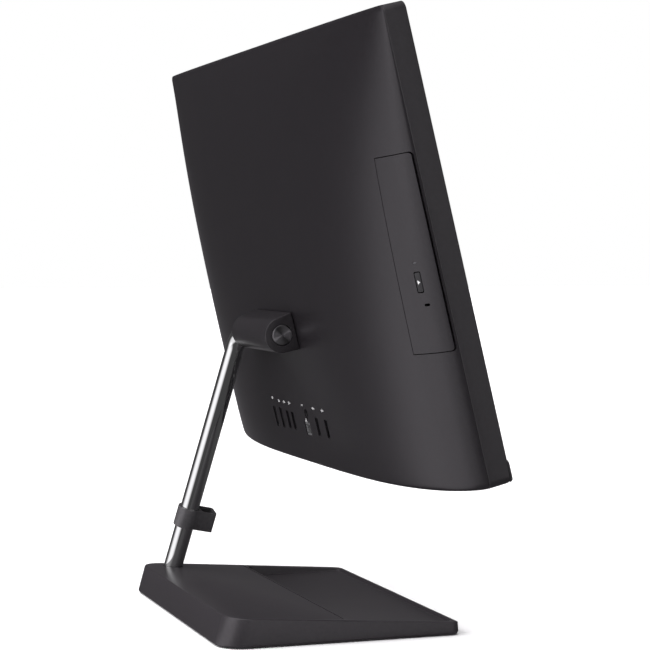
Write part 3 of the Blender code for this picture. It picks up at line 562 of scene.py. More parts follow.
def cover_bulge(z):
    """How far the cover stands out behind its rim at mid width, fullest near the bottom."""
    if z < COVER_FULL_Z:
        return COVER_MAX_BULGE - COVER_LOW_LOSS * ((COVER_FULL_Z - z) / COVER_FULL_Z) ** 2
    t = (z - COVER_FULL_Z) / (PANEL_H - COVER_FULL_Z)
    return COVER_TOP_BULGE + (COVER_MAX_BULGE - COVER_TOP_BULGE) * (1 - 0.55 * t ** 2.5 - 0.45 * t ** 6)


def side_fall(t):
    """The share of the bulge that is left at t, which is 0 at mid width and 1 at either side."""
    return max(1 - abs(t) ** 3.6, 0.0) ** 0.64


def end_loss(distance, radius):
    """What a quarter round takes off at a distance from the end."""
    if distance >= radius:
        return 0.0
    return radius - sqrt(radius ** 2 - (radius - distance) ** 2)


def cover_surface(x, z, skin=0.0):
    """y of the cover's outer surface, or of one a skin inside it, and the half width there."""
    end = max(min(z - skin, PANEL_H - skin - z), 0.0)
    half = COVER_HALF_W - skin - end_loss(end, COVER_END_ROUND)
    depth = max(cover_bulge(z) - skin - end_loss(end, COVER_EDGE_ROUND), 0.0)
    return COVER_FRONT + depth * side_fall(x / half), half


def cover_levels(skin, count):
    """Heights of the cover's rings, close together along both rounded ends."""
    arc = [COVER_END_ROUND * (1 - cos(pi / 2 * i / 6)) for i in range(7)]
    low = [skin + d for d in arc]
    high = [PANEL_H - skin - d for d in reversed(arc)]
    start, end = low[-1], high[0]
    return low + [start + (end - start) * i / count for i in range(1, count)] + high


def pillow(skin, front, columns, rows):
    """The closed solid between the plane y = front and the cover's surface."""
    bm = bmesh.new()
    loops = []
    for z in cover_levels(skin, rows):
        half = cover_surface(0.0, z, skin)[1]
        loop = [bm.verts.new((-half, front, z))]
        for i in range(columns + 1):
            t = 2 * i / columns - 1
            t = (1 if t > 0 else -1) * (1 - (1 - abs(t)) ** 1.9)
            y = cover_surface(t * half, z, skin)[0]
            loop.append(bm.verts.new((t * half, max(y, front + 1e-5), z)))
        loop.append(bm.verts.new((half, front, z)))
        loops.append(loop)
    bridge(bm, loops)
    bm.faces.new(loops[0])
    bm.faces.new(loops[-1])
    bmesh.ops.remove_doubles(bm, verts=bm.verts, dist=1e-5)
    return bm


def port_window(x, z, width, height):
    room = PORT_RIM + GAP
    outline = round_rect(x - width / 2 - room, z - height / 2 - room,
                         x + width / 2 + room, z + height / 2 + room, 0.0006, 3)
    return prism(outline, "Y", *PORT_CUT)


def port_windows():
    cuts = [port_window(x, PORT_MID_Z, PORT_W, HDMI_H) for x in HDMI_X]
    cuts += [port_window(x, PORT_MID_Z, PORT_W, USB_H) for x in USB_X]
    cuts.append(port_window(*NETWORK_MID, *NETWORK_OPEN))
    cuts.append(prism(circle(POWER_JACK_RADIUS + GAP, 32, POWER_JACK_MID), "Y", *PORT_CUT))
    return all_of(*cuts)


def vent_slots():
    cuts = []
    for side in (-1, 1):
        for i in range(8):
            x = side * (0.090 + 0.009 * i)
            slot = round_rect(x - 0.0014, 0.022, x + 0.0014, 0.040, 0.0013, 4)
            cuts.append(prism(slot, "Z", -0.002, 0.006))
    for i in range(12):
        x = -0.0605 + 0.011 * i
        slot = round_rect(x - 0.0030, 0.0190, x + 0.0030, 0.0214, 0.0011, 4)
        cuts.append(prism(slot, "Z", PANEL_H - 0.006, PANEL_H + 0.002))
    return all_of(*cuts)


def drive_block(inset, front_gap=0.0):
    """The space of the drive's bezel: its two corners at the display's edge are rounded."""
    low, high = DRIVE_LOW_Z + inset, DRIVE_HIGH_Z - inset
    side = round_rect(DRIVE_FRONT_Y + front_gap, low, 0.080, high, DRIVE_CORNER - inset, 8)
    return prism(side, "X", -0.290, DRIVE_INNER_X - inset)


def bottom_screws():
    """Where the four screws under the display stand."""
    return [(side * x, y) for side in (-1, 1) for x, y in ((0.1094, 0.0420), (0.2150, 0.0280))]


def make_rear_cover():
    cover = scratch_object("rear_cover", pillow(0.0, COVER_FRONT, 180, 72))
    wells = [prism(circle(0.0028, 24, place), "Z", -0.002, 0.0014) for place in bottom_screws()]
    cut(cover, pillow(COVER_SKIN, COVER_FRONT - 0.004, 60, 30))
    cut(cover, port_windows(), vent_slots(), all_of(*wells))
    cut(cover, box((-0.0268, 0.045, AXIS_UP - 0.0105), (0.0268, 0.060, AXIS_UP + 0.0105)))
    cut(cover, drive_block(0.0))
    piece(cover, "rear_cover_shell", CASE, DISPLAY, "display", "case_plastic", "rear_cover")
    shade_along_cover(cover)


# ---------- optical drive ----------
def surface_turn(x, z):
    """Place on the cover's surface, with local Y along its outward direction there."""
    step = 0.001
    slope = (cover_surface(x + step, z)[0] - cover_surface(x - step, z)[0]) / (2 * step)
    place = Vector((x, cover_surface(x, z)[0], z))
    return Matrix.Translation(place) @ Matrix.Rotation(atan2(slope, 1.0), 4, "Z")


def make_drive_bezel():
    bezel = scratch_object("bezel", pillow(0.0, COVER_FRONT, 180, 72))
    boolean(bezel, "INTERSECT", [drive_block(0.0006, 0.0013)])
    cut(bezel, pillow(COVER_SKIN, COVER_FRONT - 0.004, 60, 30))
    hole = prism(round_rect(-0.0030, -0.0073, 0.0030, 0.0073, 0.0012, 6), "Y", *BEZEL_CUT)
    pin = prism(round_rect(-0.0023, -0.0009, 0.0023, 0.0009, 0.0007, 5), "Y", *BEZEL_CUT)
    lamp = prism(round_rect(-0.0015, -0.0006, 0.0015, 0.0006, 0.0004, 4), "Y", *BEZEL_CUT)
    cut(bezel, moved(hole, surface_turn(BUTTON_X, BUTTON_Z)))
    cut(bezel, moved(pin, surface_turn(PIN_X, PIN_Z)), moved(lamp, surface_turn(LAMP_X, LAMP_Z)))
    piece(bezel, "drive_bezel_skin", CASE, DISPLAY, "disc_tray_body", "case_plastic", "drive_bezel")
    shade_along_cover(bezel)

    outline = round_rect(-0.0014, -0.0005, 0.0014, 0.0005, 0.0003, 4)
    window = scratch_object("lamp", prism(outline, "Y", -0.0018, -0.0001))
    round_edges(window, 0.0002, 2)
    place = DISPLAY @ surface_turn(LAMP_X, LAMP_Z)
    piece(window, "drive_lamp_window", LAMP, place, "disc_tray_body", "dark_plastic")

    outline = round_rect(-0.0024, -0.0067, 0.0024, 0.0067, 0.0010, 6)
    button = scratch_object("button", prism(outline, "Y", -0.0026, 0.0))
    round_edges(button, 0.0003, 3)
    place = DISPLAY @ surface_turn(BUTTON_X, BUTTON_Z)
    piece(button, "eject_button_cap", DARK, place, "eject_button_body", "dark_plastic", "eject_button")
    mark = prism([(-0.0012, 0.0), (0.0009, -0.0014), (0.0009, 0.0014)], "Y", -0.0002, 0.00005)
    piece(scratch_object("mark", mark), "eject_mark", INK, place, "eject_button_body", "dark_plastic")


def make_tray_plate():
    """The thin plate that closes the laser's opening on the tray's screen side."""
    plate = scratch_object("plate", box((DISC_X - 0.0120, DRIVE_TRAY_Y - 0.0004, DISC_Z - 0.0625),
                                        (DISC_X + 0.0120, DRIVE_TRAY_Y + 0.00005, DISC_Z - 0.0165)))
    piece(plate, "drive_tray_plate", STEEL, DISPLAY, "disc_tray_body", "steel")


# ---------- hinge ----------
def hinge_outline(radius, top, bottom, face, steps):
    """A round barrel that flares out to a flat face on the cover."""
    points = [(face, AXIS_UP - bottom)]
    for i in range(steps + 1):
        angle = -pi / 2 + pi * i / steps
        points.append((AXIS_BACK + radius * cos(angle), AXIS_UP + radius * sin(angle)))
    points.append((face, AXIS_UP + top))
    return points


def make_hinge():
    outline = hinge_outline(HINGE_RADIUS, HINGE_TOP_FLARE, HINGE_BOTTOM_FLARE, HINGE_FACE, 40)
    housing = scratch_object("housing", prism(outline, "X", HINGE_LEFT_X, HINGE_RIGHT_X))
    round_edges(housing, 0.0007, 4, 40)
    axis = (AXIS_BACK, AXIS_UP)
    pocket = hinge_outline(0.0116, 0.0116, 0.0116, HINGE_FACE - 0.01, 20)
    bore = circle(POLE_RADIUS + POLE_ROOM, 64, axis)
    cut(housing, prism(pocket, "X", -0.0345, 0.0265), prism(bore, "X", -0.06, 0.06))
    piece(housing, "hinge_block", HINGE, DISPLAY, "display", "case_plastic", "hinge_housing", smooth=40)

    rim = POLE_RADIUS + 0.0001
    plug = POLE_BORE - GAP
    profile = [(0.0, -0.0009), (rim - 0.0006, -0.0009), (rim - 0.0001, -0.00065), (rim, -0.0003), (rim, 0.0),
               (plug, 0.0), (plug, 0.0060), (0.0, 0.0060)]
    cap = scratch_object("cap", turned(profile, "X", 72))
    place = Matrix.Translation((POLE_END_X - GAP, AXIS_Y, AXIS_Z))
    piece(cap, "axle_cap_disc", DISC, place, "stand", "steel", "axle_end_cap", smooth=20)


# ---------- pole and clip ----------
def leg_direction():
    return (Vector((POLE_KNEE_X, AXIS_Y, AXIS_Z)) - POLE_FOOT).normalized()


def leg_point(distance):
    """A point on the pole's straight leg, measured up from its foot."""
    return POLE_FOOT + leg_direction() * distance


def pole_path():
    up = leg_direction()
    along = Vector((-1.0, 0.0, 0.0))
    turn = up.angle(along)
    start = Vector((POLE_KNEE_X, AXIS_Y, AXIS_Z)) - up * POLE_BEND * tan(turn / 2)
    centre = start + (along - up * along.dot(up)).normalized() * POLE_BEND
    points = [leg_point(-POLE_SINK + 0.02 * i) for i in range(9)]
    steps = 32
    for i in range(steps + 1):
        angle = turn * i / steps
        points.append(centre + (start - centre) * cos(angle) + up * POLE_BEND * sin(angle))
    end = points[-1]
    points += [Vector((end.x + (POLE_END_X - end.x) * i / 4, AXIS_Y, AXIS_Z)) for i in range(1, 5)]
    return points


def make_pole():
    tube = scratch_object("tube", sweep(pole_path(), POLE_RADIUS, 72, POLE_BORE))
    piece(tube, "chrome_tube", CHROME, WORLD, "stand", "chrome", "pole", smooth=50)


def make_cable_clip():
    height, wall, loop_end, half = 0.0165, 0.0016, -0.0225, 0.0078
    up = leg_direction()
    side = Vector((0.0, 1.0, 0.0)).cross(up).normalized()
    turn = Matrix((side, up.cross(side), up)).transposed().to_4x4()
    outer = POLE_RADIUS + GAP + wall
    low, high = -height / 2, height / 2
    clip = scratch_object("clip", prism(circle(outer, 64), "Z", low, high))
    join(clip, prism(round_rect(-half, loop_end, half, 0.0, 0.0025, 6), "Z", low, high))
    mouth = box((POLE_RADIUS - 0.002, -0.0035, -0.02), (0.0130, 0.0035, 0.02))
    loop = round_rect(-half + wall, loop_end + wall, half - wall, -outer, 0.0014, 5)
    bore = prism(circle(POLE_RADIUS + GAP, 64), "Z", -0.02, 0.02)
    cut(clip, bore, mouth, prism(loop, "Z", -0.02, 0.02))
    round_edges(clip, 0.0004, 3, 40)
    place = Matrix.Translation(leg_point(CLIP_UP_LEG)) @ turn
    piece(clip, "cable_clip_ring", SMOKED, place, "cable_clip_body", "dark_plastic", "cable_clip", smooth=40)


# ---------- base ----------
def base_top_z(y):
    slope = (BASE_TOP_REAR_Z - BASE_TOP_FRONT_Z) / (BASE_TOP_REAR_Y - BASE_TOP_FRONT_Y)
    return BASE_TOP_FRONT_Z + slope * (y - BASE_TOP_FRONT_Y)


def base_footprint(inset, steps=14):
    rear = BASE_REAR_CORNER - inset
    front = max(BASE_FRONT_CORNER - inset, 0.001)
    x = BASE_HALF_X - inset
    y0, y1 = BASE_FRONT_Y + inset, BASE_REAR_Y - inset
    return (corner_arc(x - rear, y1 - rear, rear, 0.0, steps)
            + corner_arc(-x + rear, y1 - rear, rear, pi / 2, steps)
            + corner_arc(-x + front, y0 + front, front, pi, steps)
            + corner_arc(x - front, y0 + front, front, 3 * pi / 2, steps))


def base_body(inset, bottom, drop, round_bottom=0.0):
    """The wedge, drawn in by inset and lowered by drop, with its lower edge rounded."""
    bm = bmesh.new()
    rings = []
    for i in range(6 if round_bottom else 1):
        turn = pi / 2 * i / 5
        z = bottom + round_bottom * (1 - cos(turn))
        outline = base_footprint(inset + round_bottom * (1 - sin(turn)))
        rings.append([bm.verts.new((x, y, z)) for x, y in outline])
    shrink = (BASE_TOP_REAR_Y - BASE_TOP_FRONT_Y) / (BASE_REAR_Y - BASE_FRONT_Y)
    high = []
    for x, y in base_footprint(inset):
        top_y = BASE_TOP_FRONT_Y + (y - BASE_FRONT_Y) * shrink
        high.append(bm.verts.new((x, top_y, base_top_z(top_y) - drop)))
    bridge(bm, rings + [high])
    bm.faces.new(rings[0])
    bm.faces.new(high)
    return bm


def make_base():
    base = scratch_object("base", base_body(0.0, BASE_BOTTOM_Z, 0.0, BASE_ROUND))
    tray = round_rect(-TRAY_HALF_X, TRAY_FRONT_Y, TRAY_HALF_X, TRAY_REAR_Y, TRAY_CORNER, 8)
    cut(base, prism(tray, "Z", TRAY_FLOOR_Z, 0.040))
    round_edges(base, 0.0009, 4, 35)
    seam_y = TRAY_REAR_Y + 0.0016
    depth = base_top_z(seam_y) - 0.0012
    cut(base, box((-TRAY_HALF_X, seam_y, depth), (TRAY_HALF_X, seam_y + 0.0011, 0.040)))
    under = scratch_object("under", base_body(BASE_WALL, 0.0, BASE_WALL))
    cut(under, box((-0.2, -0.2, TRAY_FLOOR_Z - BASE_WALL), (0.2, TRAY_REAR_Y + BASE_WALL, 0.1)))
    socket = sweep([leg_point(-0.008), leg_point(0.010)], POLE_RADIUS + POLE_ROOM, 64)
    cut(base, shape_of(under), socket)
    piece(base, "base_moulding", BASE, WORLD, "stand", "case_plastic", "base_shell", smooth=40)


# ---------- front ----------
def make_front():
    half = PANEL_W / 2
    outline = round_rect(-half, 0.0, half, PANEL_H, FRAME_CORNER, 10)
    bezel = scratch_object("frame", prism(outline, "Y", 0.0, COVER_FRONT - 0.00004))
    round_edges(bezel, 0.0005, 3, 60)
    wall = FRAME_WALL
    inner = round_rect(-half + wall, wall, half - wall, PANEL_H - wall, FRAME_CORNER - wall, 8)
    cut(bezel, prism(inner, "Y", FRAME_LIP, 0.020))
    cut(bezel, box((-SCREEN_W / 2, -0.01, CHIN_H), (SCREEN_W / 2, 0.01, CHIN_H + SCREEN_H)))
    chin_step = round_rect(-half - 0.001, -0.001, half + 0.001, CHIN_BAR_H + GAP, 0.0005, 1)
    cut(bezel, prism(chin_step, "Y", -0.002, 0.0008))
    cut(bezel, prism(round_rect(0.219, 0.0055, 0.231, 0.0105, 0.0024), "Z", -0.002, 0.004))
    lens = prism(circle(0.0013, 32, (0.0, CAMERA_Z)), "Y", *FRONT_CUT)
    shutter_slot = round_rect(0.0035, CAMERA_Z - 0.0006, 0.0135, CAMERA_Z + 0.0006, 0.0005, 4)
    slot = prism(shutter_slot, "Y", *FRONT_CUT)
    holes = [prism(circle(0.0005, 12, (x, CAMERA_Z)), "Y", *FRONT_CUT) for x in (-0.060, 0.060)]
    cut(bezel, all_of(lens, slot, *holes), chin_edge())
    piece(bezel, "screen_frame", CASE_SIDE, DISPLAY, "display", "case_plastic", "front_frame", smooth=30)

    outline = round_rect(-half, 0.0, half, CHIN_BAR_H, 0.003, 8)
    strip = scratch_object("chin", prism(outline, "Y", -CHIN_PROUD, 0.0005))
    round_edges(strip, 0.0004, 3, 60)
    holes = []
    for side in (-1, 1):
        for i in range(36):
            for row in range(2):
                x = side * (0.203 + 0.0014 * i + 0.0007 * row)
                holes.append(prism(circle(0.00042, 8, (x, 0.0058 + 0.0012 * row)), "Y", -0.004, 0.004))
    cut(strip, all_of(*holes), chin_edge())
    piece(strip, "chin_strip", CASE_SIDE, DISPLAY, "display", "case_plastic", "chin_bar", smooth=30)

    glass = scratch_object("glass", box((-SCREEN_W / 2 + GAP, 0.0003, CHIN_H + GAP),
                                        (SCREEN_W / 2 - GAP, 0.0014, CHIN_H + SCREEN_H - GAP)))
    round_edges(glass, 0.00015, 2)
    piece(glass, "screen_panel", SCREEN, DISPLAY, "display", "screen", "lcd_glass")


def chin_edge():
    """What the rounded lower front edge of the chin leaves out, all along it."""
    rise, run = CHIN_CHAMFER_Z, CHIN_CHAMFER_Y + CHIN_PROUD
    outline = [(-0.005, -0.003), (-0.005, rise)]
    for i in range(17):
        turn = pi / 2 * i / 16
        outline.append((-CHIN_PROUD + run * (1 - cos(turn)), rise * (1 - sin(turn)) - 0.00001))
    outline.append((CHIN_CHAMFER_Y, -0.003))
    half = PANEL_W / 2 + 0.005
    return prism(outline, "X", -half, half)


def make_camera_and_switch():
    profile = [(0.0, 0.0027), (0.0005, 0.00275), (0.0010, 0.0030), (0.0010, 0.0034), (0.0, 0.0034)]
    lens = scratch_object("lens", moved(turned(profile, "Y", 32), Matrix.Translation((0.0, 0.0, CAMERA_Z))))
    piece(lens, "camera_lens_glass", LENS, DISPLAY, "display", "dark_plastic")

    shutter = scratch_object("shutter", box((-0.0100, 0.0018, -0.0011), (0.0015, 0.0024, 0.0011)))
    join(shutter, box((-0.0012, -0.0005, -0.0004), (0.0012, 0.0020, 0.0004)))
    round_edges(shutter, 0.00012, 2)
    piece(shutter, "shutter_slider", DARK, DISPLAY @ Matrix.Translation((0.0118, 0.0, CAMERA_Z)),
          "camera_shutter_body", "dark_plastic", "camera_shutter")

    outline = round_rect(-0.0057, -0.0022, 0.0057, 0.0022, 0.0021, 8)
    button = scratch_object("power", prism(outline, "Z", -0.0002, 0.0026))
    round_edges(button, 0.0002, 3)
    place = DISPLAY @ Matrix.Translation((0.225, 0.008, 0.0))
    piece(button, "power_button_cap", DARK, place, "power_button_body", "dark_plastic", "power_button")
    stem = box((-0.00012, -0.0003, -0.00028), (0.00012, 0.0013, 0.0))
    arc = arc_band(0.0009, 0.0012, radians(125), radians(415), 18)
    mark = all_of(prism(arc, "Z", -0.00026, 0.0), stem)
    piece(scratch_object("mark", mark), "power_mark", INK, place, "power_button_body", "dark_plastic")


def arc_band(inner, outer, start, end, steps):
    """Outline of a band along an arc."""
    turns = [start + (end - start) * i / steps for i in range(steps + 1)]
    return ([(outer * cos(t), outer * sin(t)) for t in turns]
            + [(inner * cos(t), inner * sin(t)) for t in reversed(turns)])


# ---------- rear connectors ----------
def make_connector(node, x, height, tongue_side, contacts):
    """A pressed shell with its mouth to the rear, and a tongue with a row of contacts."""
    half_w, half_h, rim = PORT_W / 2, height / 2, PORT_RIM
    outline = round_rect(-half_w - rim, -half_h - rim, half_w + rim, half_h + rim, 0.0006, 4)
    shell = scratch_object("shell", prism(outline, "Y", PORT_FRONT, PORT_REAR))
    mouth = round_rect(-half_w, -half_h, half_w, half_h, 0.0004, 4)
    cut(shell, prism(mouth, "Y", PORT_REAR - 0.0125, 0.06))
    side = half_w + 0.001
    springs = [box((-side, PORT_REAR - 0.0085, z - 0.0011), (side, PORT_REAR - 0.0030, z + 0.0011))
               for z in (-half_h / 2, half_h / 2)]
    cut(shell, all_of(*springs))
    place = DISPLAY @ Matrix.Translation((x, 0.0, PORT_MID_Z))
    metal = SOCKET if height < HDMI_H else SOCKET_BRIGHT
    piece(shell, f"{node}_shell", metal, place, "display", "steel", node)

    middle = tongue_side * 0.0007
    thick = 0.0008
    tongue = scratch_object("tongue", box((middle - thick, PORT_REAR - 0.0124, -half_h + 0.0012),
                                          (middle + thick, PORT_REAR - 0.0014, half_h - 0.0012)))
    round_edges(tongue, 0.0003, 3)
    piece(tongue, f"{node}_tongue", TONGUE, place, "display", "dark_plastic")
    pitch = (2 * half_h - 0.0034) / contacts
    fingers = []
    for i in range(contacts):
        z = -half_h + 0.0017 + pitch * (i + 0.5)
        side = middle - tongue_side * (thick + 0.00004)
        fingers.append(box((min(side, middle), PORT_REAR - 0.0115, z - pitch * 0.28),
                           (max(side, middle), PORT_REAR - 0.0022, z + pitch * 0.28)))
    piece(scratch_object("fingers", all_of(*fingers)), f"{node}_contacts", GOLD, place, "display", "steel")


def make_network_jack():
    half_w, half_h, rim = NETWORK_OPEN[0] / 2, NETWORK_OPEN[1] / 2, PORT_RIM
    body = scratch_object("jack", box((-half_w - rim, PORT_FRONT, -half_h - rim),
                                      (half_w + rim, PORT_REAR, half_h + rim)))
    round_edges(body, 0.0003, 2)
    mouth = [(-half_w + 0.0003, -half_h + 0.0003), (half_w - 0.0003, -half_h + 0.0003),
             (half_w - 0.0003, half_h - 0.0032), (0.0032, half_h - 0.0032), (0.0032, half_h - 0.0016),
             (0.0019, half_h - 0.0016), (0.0019, half_h - 0.0003), (-0.0019, half_h - 0.0003),
             (-0.0019, half_h - 0.0016), (-0.0032, half_h - 0.0016), (-0.0032, half_h - 0.0032),
             (-half_w + 0.0003, half_h - 0.0032)]
    cut(body, prism(mouth, "Y", PORT_REAR - 0.0140, 0.06))
    lamps = [box((side * 0.0044 - 0.0012, PORT_REAR - 0.0006, half_h - 0.0026),
                 (side * 0.0044 + 0.0012, 0.06, half_h - 0.0008)) for side in (-1, 1)]
    cut(body, all_of(*lamps))
    place = DISPLAY @ Matrix.Translation((NETWORK_MID[0], 0.0, NETWORK_MID[1]))
    piece(body, "network_jack_body", JACK_GREY, place, "display", "steel", "network_jack")
    windows = [box((side * 0.0044 - 0.0011, PORT_REAR - 0.0005, half_h - 0.0025),
                   (side * 0.0044 + 0.0011, PORT_REAR - 0.0001, half_h - 0.0009)) for side in (-1, 1)]
    lamp_windows = scratch_object("windows", all_of(*windows))
    piece(lamp_windows, "network_lamps", LAMP, place, "display", "dark_plastic")
    wires = []
    for i in range(8):
        x = (i - 3.5) * 0.00102
        wires.append(sweep([Vector((x, PORT_REAR - 0.0060, -half_h + 0.0008)),
                            Vector((x, PORT_REAR - 0.0125, -half_h + 0.0034))], 0.00022, 8))
    piece(scratch_object("wires", all_of(*wires)), "network_contacts", GOLD, place, "display", "steel")


def make_power_jack():
    radius, bore, floor = POWER_JACK_RADIUS, 0.0029, PORT_REAR - 0.0110
    profile = [(0.0, PORT_FRONT), (radius, PORT_FRONT), (radius, PORT_REAR - 0.0002),
               (radius - 0.0002, PORT_REAR), (bore + 0.0002, PORT_REAR), (bore, PORT_REAR - 0.0002),
               (bore, floor), (0.0, floor)]
    place = DISPLAY @ Matrix.Translation((POWER_JACK_MID[0], 0.0, POWER_JACK_MID[1]))
    barrel = scratch_object("barrel", turned(profile, "Y", 48))
    piece(barrel, "power_jack_barrel", DARK, place, "display", "dark_plastic", "power_jack")
    pin = [(0.0, PORT_REAR - 0.0115), (0.0008, PORT_REAR - 0.0115), (0.0008, PORT_REAR - 0.0020),
           (0.0005, PORT_REAR - 0.0016), (0.0, PORT_REAR - 0.0015)]
    piece(scratch_object("pin", turned(pin, "Y", 24)), "power_jack_pin", NICKEL, place, "display", "steel")


def bar(x0, z0, x1, z1):
    return box((x0, 0.0, z0), (x1, INK_DEPTH, z1))


def dot(x, z, radius):
    return prism(circle(radius, 16, (x, z)), "Y", 0.0, INK_DEPTH)


def screen_mark():
    """A wide socket outline with its corners cut."""
    outline = [(-0.0021, 0.0009), (0.0021, 0.0009), (0.0021, -0.0001), (0.0013, -0.0009),
               (-0.0013, -0.0009), (-0.0021, -0.0001)]
    inner = [(a * 0.84, b * 0.66 + 0.0001) for a, b in outline]
    rim = scratch_object("outline", prism(outline, "Y", 0.0, INK_DEPTH))
    cut(rim, prism(inner, "Y", -0.001, 0.001))
    return [shape_of(rim), bar(-0.0009, -0.0001, 0.0009, 0.0002)]


def branch_mark():
    """A long stem with two side branches."""
    stem = [bar(-0.0022, -0.00016, 0.0022, 0.00016), dot(-0.0024, 0.0, 0.00055)]
    upper = [bar(-0.0010, 0.0, -0.0007, 0.0009), bar(-0.0010, 0.0007, 0.0006, 0.0010)]
    lower = [bar(-0.0002, -0.0009, 0.0001, 0.0), bar(-0.0002, -0.0010, 0.0012, -0.0007)]
    ends = [dot(x, z, 0.0004) for x, z in ((0.0008, 0.00085), (0.0014, -0.00085), (0.0024, 0.0))]
    return stem + upper + lower + ends


def network_mark():
    """Three boxes joined by lines."""
    boxes = [bar(-0.0006, 0.0004, 0.0006, 0.0013), bar(-0.0019, -0.0013, -0.0007, -0.0004),
             bar(0.0007, -0.0013, 0.0019, -0.0004)]
    lines = [bar(-0.00015, -0.0001, 0.00015, 0.0005), bar(-0.0014, -0.0002, 0.0014, 0.0),
             bar(-0.0014, -0.0005, -0.0012, 0.0), bar(0.0012, -0.0005, 0.0014, 0.0)]
    return boxes + lines


def plug_mark():
    """A line over three short dashes."""
    return [bar(-0.0019, 0.0003, 0.0019, 0.0006), bar(-0.0019, -0.0005, -0.0008, -0.0002),
            bar(-0.0005, -0.0005, 0.0005, -0.0002), bar(0.0008, -0.0005, 0.0019, -0.0002)]


def make_marks():
    marks = [(0.0594, 0.0498, screen_mark), (0.0424, MARK_Z, screen_mark), (-0.0168, 0.0492, plug_mark),
             (-0.0192, 0.0372, network_mark)]
    marks += [(x, MARK_Z, branch_mark) for x in (0.0290, 0.0160, -0.0431, -0.0640)]
    shapes = []
    for x, z, shape in marks:
        y = cover_surface(x, z)[0] - 0.00016
        shapes += [moved(s, Matrix.Translation((x, y, z))) for s in shape()]
    piece(scratch_object("marks", all_of(*shapes)), "port_marks", INK, DISPLAY, "display", "case_plastic")


def make_screws():
    for number, (x, y) in enumerate(bottom_screws()):
        profile = [(0.0, 0.0013), (0.0024, 0.0013), (0.0024, 0.0006), (0.0020, 0.0003), (0.0, 0.0002)]
        head = scratch_object("head", turned(profile, "Z", 32))
        cross = all_of(box((-0.0013, -0.0003, -0.001), (0.0013, 0.0003, 0.0010)))
        cut(head, cross, box((-0.0003, -0.0013, -0.001), (0.0003, 0.0013, 0.0010)))
        place = DISPLAY @ Matrix.Translation((x, y, 0.0))
        piece(head, f"cover_screw_{number}", DARK, place, "display", "steel")


# ---------- materials for the CAD nodes that stay ----------
def dress_inner_nodes():
    finishes = {"case_plastic": CASE, "dark_plastic": DARK, "chrome": CHROME, "steel": STEEL,
                "rubber": RUBBER, "board": BOARD, "aluminium": ALUMINIUM, "copper": COPPER,
                "screen": SCREEN, "panel_stack": ALUMINIUM}
    slots = {part["node"]: part["material_slot"] for part in frame["record"]["subparts"]}
    for name, obj in NODES.items():
        obj.data.materials.clear()
        obj.data.materials.append(finishes[slots[name]])


# ---------- stage ----------
def make_floor():
    bm = bmesh.new()
    bmesh.ops.create_grid(bm, x_segments=1, y_segments=1, size=14.0)
    mesh = bpy.data.meshes.new("floor")
    bm.to_mesh(mesh)
    bm.free()
    floor = bpy.data.objects.new("floor", mesh)
    m = Nodes("floor")
    m.set(color=(0.86, 0.86, 0.86), roughness=0.9, specular=0.1)
    mesh.materials.append(m.material)
    bpy.context.scene.collection.objects.link(floor)
    floor.visible_glossy = False


# soft boxes of the studio: azimuth and elevation in degrees, angles where they fade, radiance
SOFT_BOXES = [
    (100, 6, 8, 42, 1.15),        # large one behind the display's edge, seen in the pole
    (62, -27, 10, 32, 0.88),      # low card beside it, seen in the cover's near edge
    (100, 54, 8, 40, 1.0),        # high behind
    (0, 90, 15, 60, 0.40),        # overhead
    (203, 4, 5, 34, 0.50),        # fill from the camera's side
    (165, 35, 5, 36, 0.40),       # high fill above it
    (-20, -17, 6, 28, 0.26),      # dim one on the far side
]
AMBIENT = 0.06
LIGHT_TINT = (1.0, 0.957, 1.012, 1.0)


def soft_box(tree, direction, azimuth, elevation, inner, outer, radiance):
    """A round patch of light in the world, brightest at its middle."""
    a, e = radians(azimuth), radians(elevation)
    towards = tree.nodes.new("ShaderNodeVectorMath")
    towards.operation = "DOT_PRODUCT"
    towards.inputs[1].default_value = (cos(a) * cos(e), sin(a) * cos(e), sin(e))
    tree.links.new(direction, towards.inputs[0])
    span = tree.nodes.new("ShaderNodeMapRange")
    span.interpolation_type = "SMOOTHSTEP"
    span.inputs["From Min"].default_value = cos(radians(outer))
    span.inputs["From Max"].default_value = cos(radians(inner))
    span.inputs["To Max"].default_value = radiance
    tree.links.new(towards.outputs["Value"], span.inputs["Value"])
    return span.outputs["Result"]


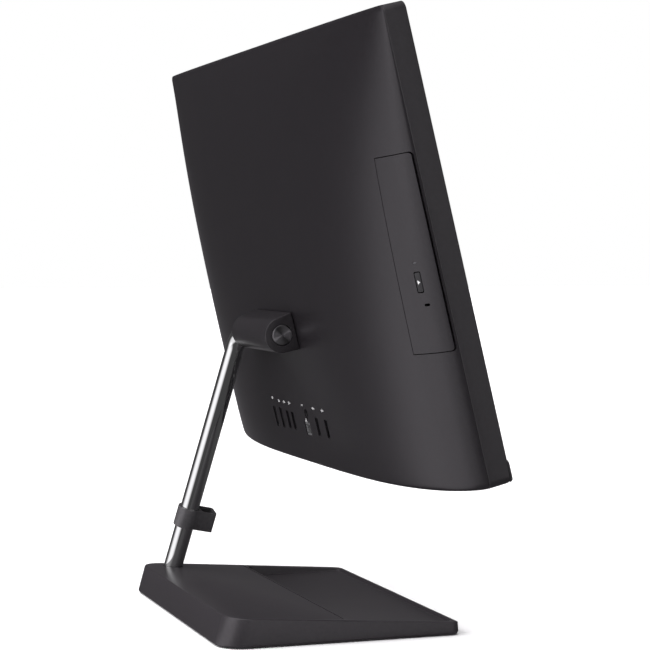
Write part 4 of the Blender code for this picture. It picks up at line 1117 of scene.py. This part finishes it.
def make_lights():
    """An even sky for the floor, and a world of soft boxes that the object mirrors."""
    sun = bpy.data.lights.new("sky", "SUN")
    sun.energy = 4.9
    sun.angle = radians(100)
    sky = bpy.data.objects.new("sky", sun)
    sky.rotation_euler = (radians(-32), 0.0, 0.0)
    sky.visible_glossy = False
    bpy.context.scene.collection.objects.link(sky)

    world = bpy.data.worlds.new("studio")
    world.use_nodes = True
    tree = world.node_tree
    tree.nodes.clear()
    direction = tree.nodes.new("ShaderNodeTexCoord").outputs["Generated"]
    total = None
    for values in SOFT_BOXES:
        patch = soft_box(tree, direction, *values)
        added = tree.nodes.new("ShaderNodeMath")
        tree.links.new(patch, added.inputs[0])
        added.inputs[1].default_value = AMBIENT
        if total:
            tree.links.new(total, added.inputs[1])
        total = added.outputs["Value"]
    lit = tree.nodes.new("ShaderNodeBackground")
    lit.inputs["Color"].default_value = LIGHT_TINT
    tree.links.new(total, lit.inputs["Strength"])
    seen = tree.nodes.new("ShaderNodeBackground")
    seen.inputs["Color"].default_value = (1.0, 1.0, 1.0, 1.0)
    rays = tree.nodes.new("ShaderNodeLightPath")
    mix = tree.nodes.new("ShaderNodeMixShader")
    out = tree.nodes.new("ShaderNodeOutputWorld")
    tree.links.new(rays.outputs["Is Camera Ray"], mix.inputs["Fac"])
    tree.links.new(lit.outputs[0], mix.inputs[1])
    tree.links.new(seen.outputs[0], mix.inputs[2])
    tree.links.new(mix.outputs[0], out.inputs["Surface"])
    bpy.context.scene.world = world


def make_camera():
    camera = bpy.data.cameras.new("camera")
    camera.sensor_width = 36.0
    camera.lens = 106.15
    camera.clip_end = 60.0
    obj = bpy.data.objects.new("camera", camera)
    place = Vector((-1.4333, 0.4670, 0.2814))
    forward = Vector((0.94397, -0.32802, -0.03642)).normalized()
    level_right = forward.cross(Vector((0.0, 0.0, 1.0))).normalized()
    level_up = level_right.cross(forward)
    roll = radians(0.15)
    right = level_right * cos(roll) + level_up * sin(roll)
    up = right.cross(forward)
    turn = Matrix((right, up, -forward)).transposed().to_4x4()
    obj.matrix_world = Matrix.Translation(place) @ turn
    bpy.context.scene.collection.objects.link(obj)
    bpy.context.scene.camera = obj
    bpy.context.scene.view_settings.view_transform = "Standard"


def build():
    dress_inner_nodes()
    make_rear_cover()
    make_drive_bezel()
    make_tray_plate()
    make_hinge()
    make_pole()
    make_cable_clip()
    make_base()
    make_front()
    make_camera_and_switch()
    for number, x in enumerate(HDMI_X, 1):
        make_connector(f"hdmi_connector_{number}", x, HDMI_H, 1, 9)
    for number, x in enumerate(USB_X, 1):
        make_connector(f"usb_connector_{number}", x, USB_H, -1, 4)
    make_network_jack()
    make_power_jack()
    make_marks()
    make_screws()
    make_floor()
    make_lights()
    make_camera()


build()
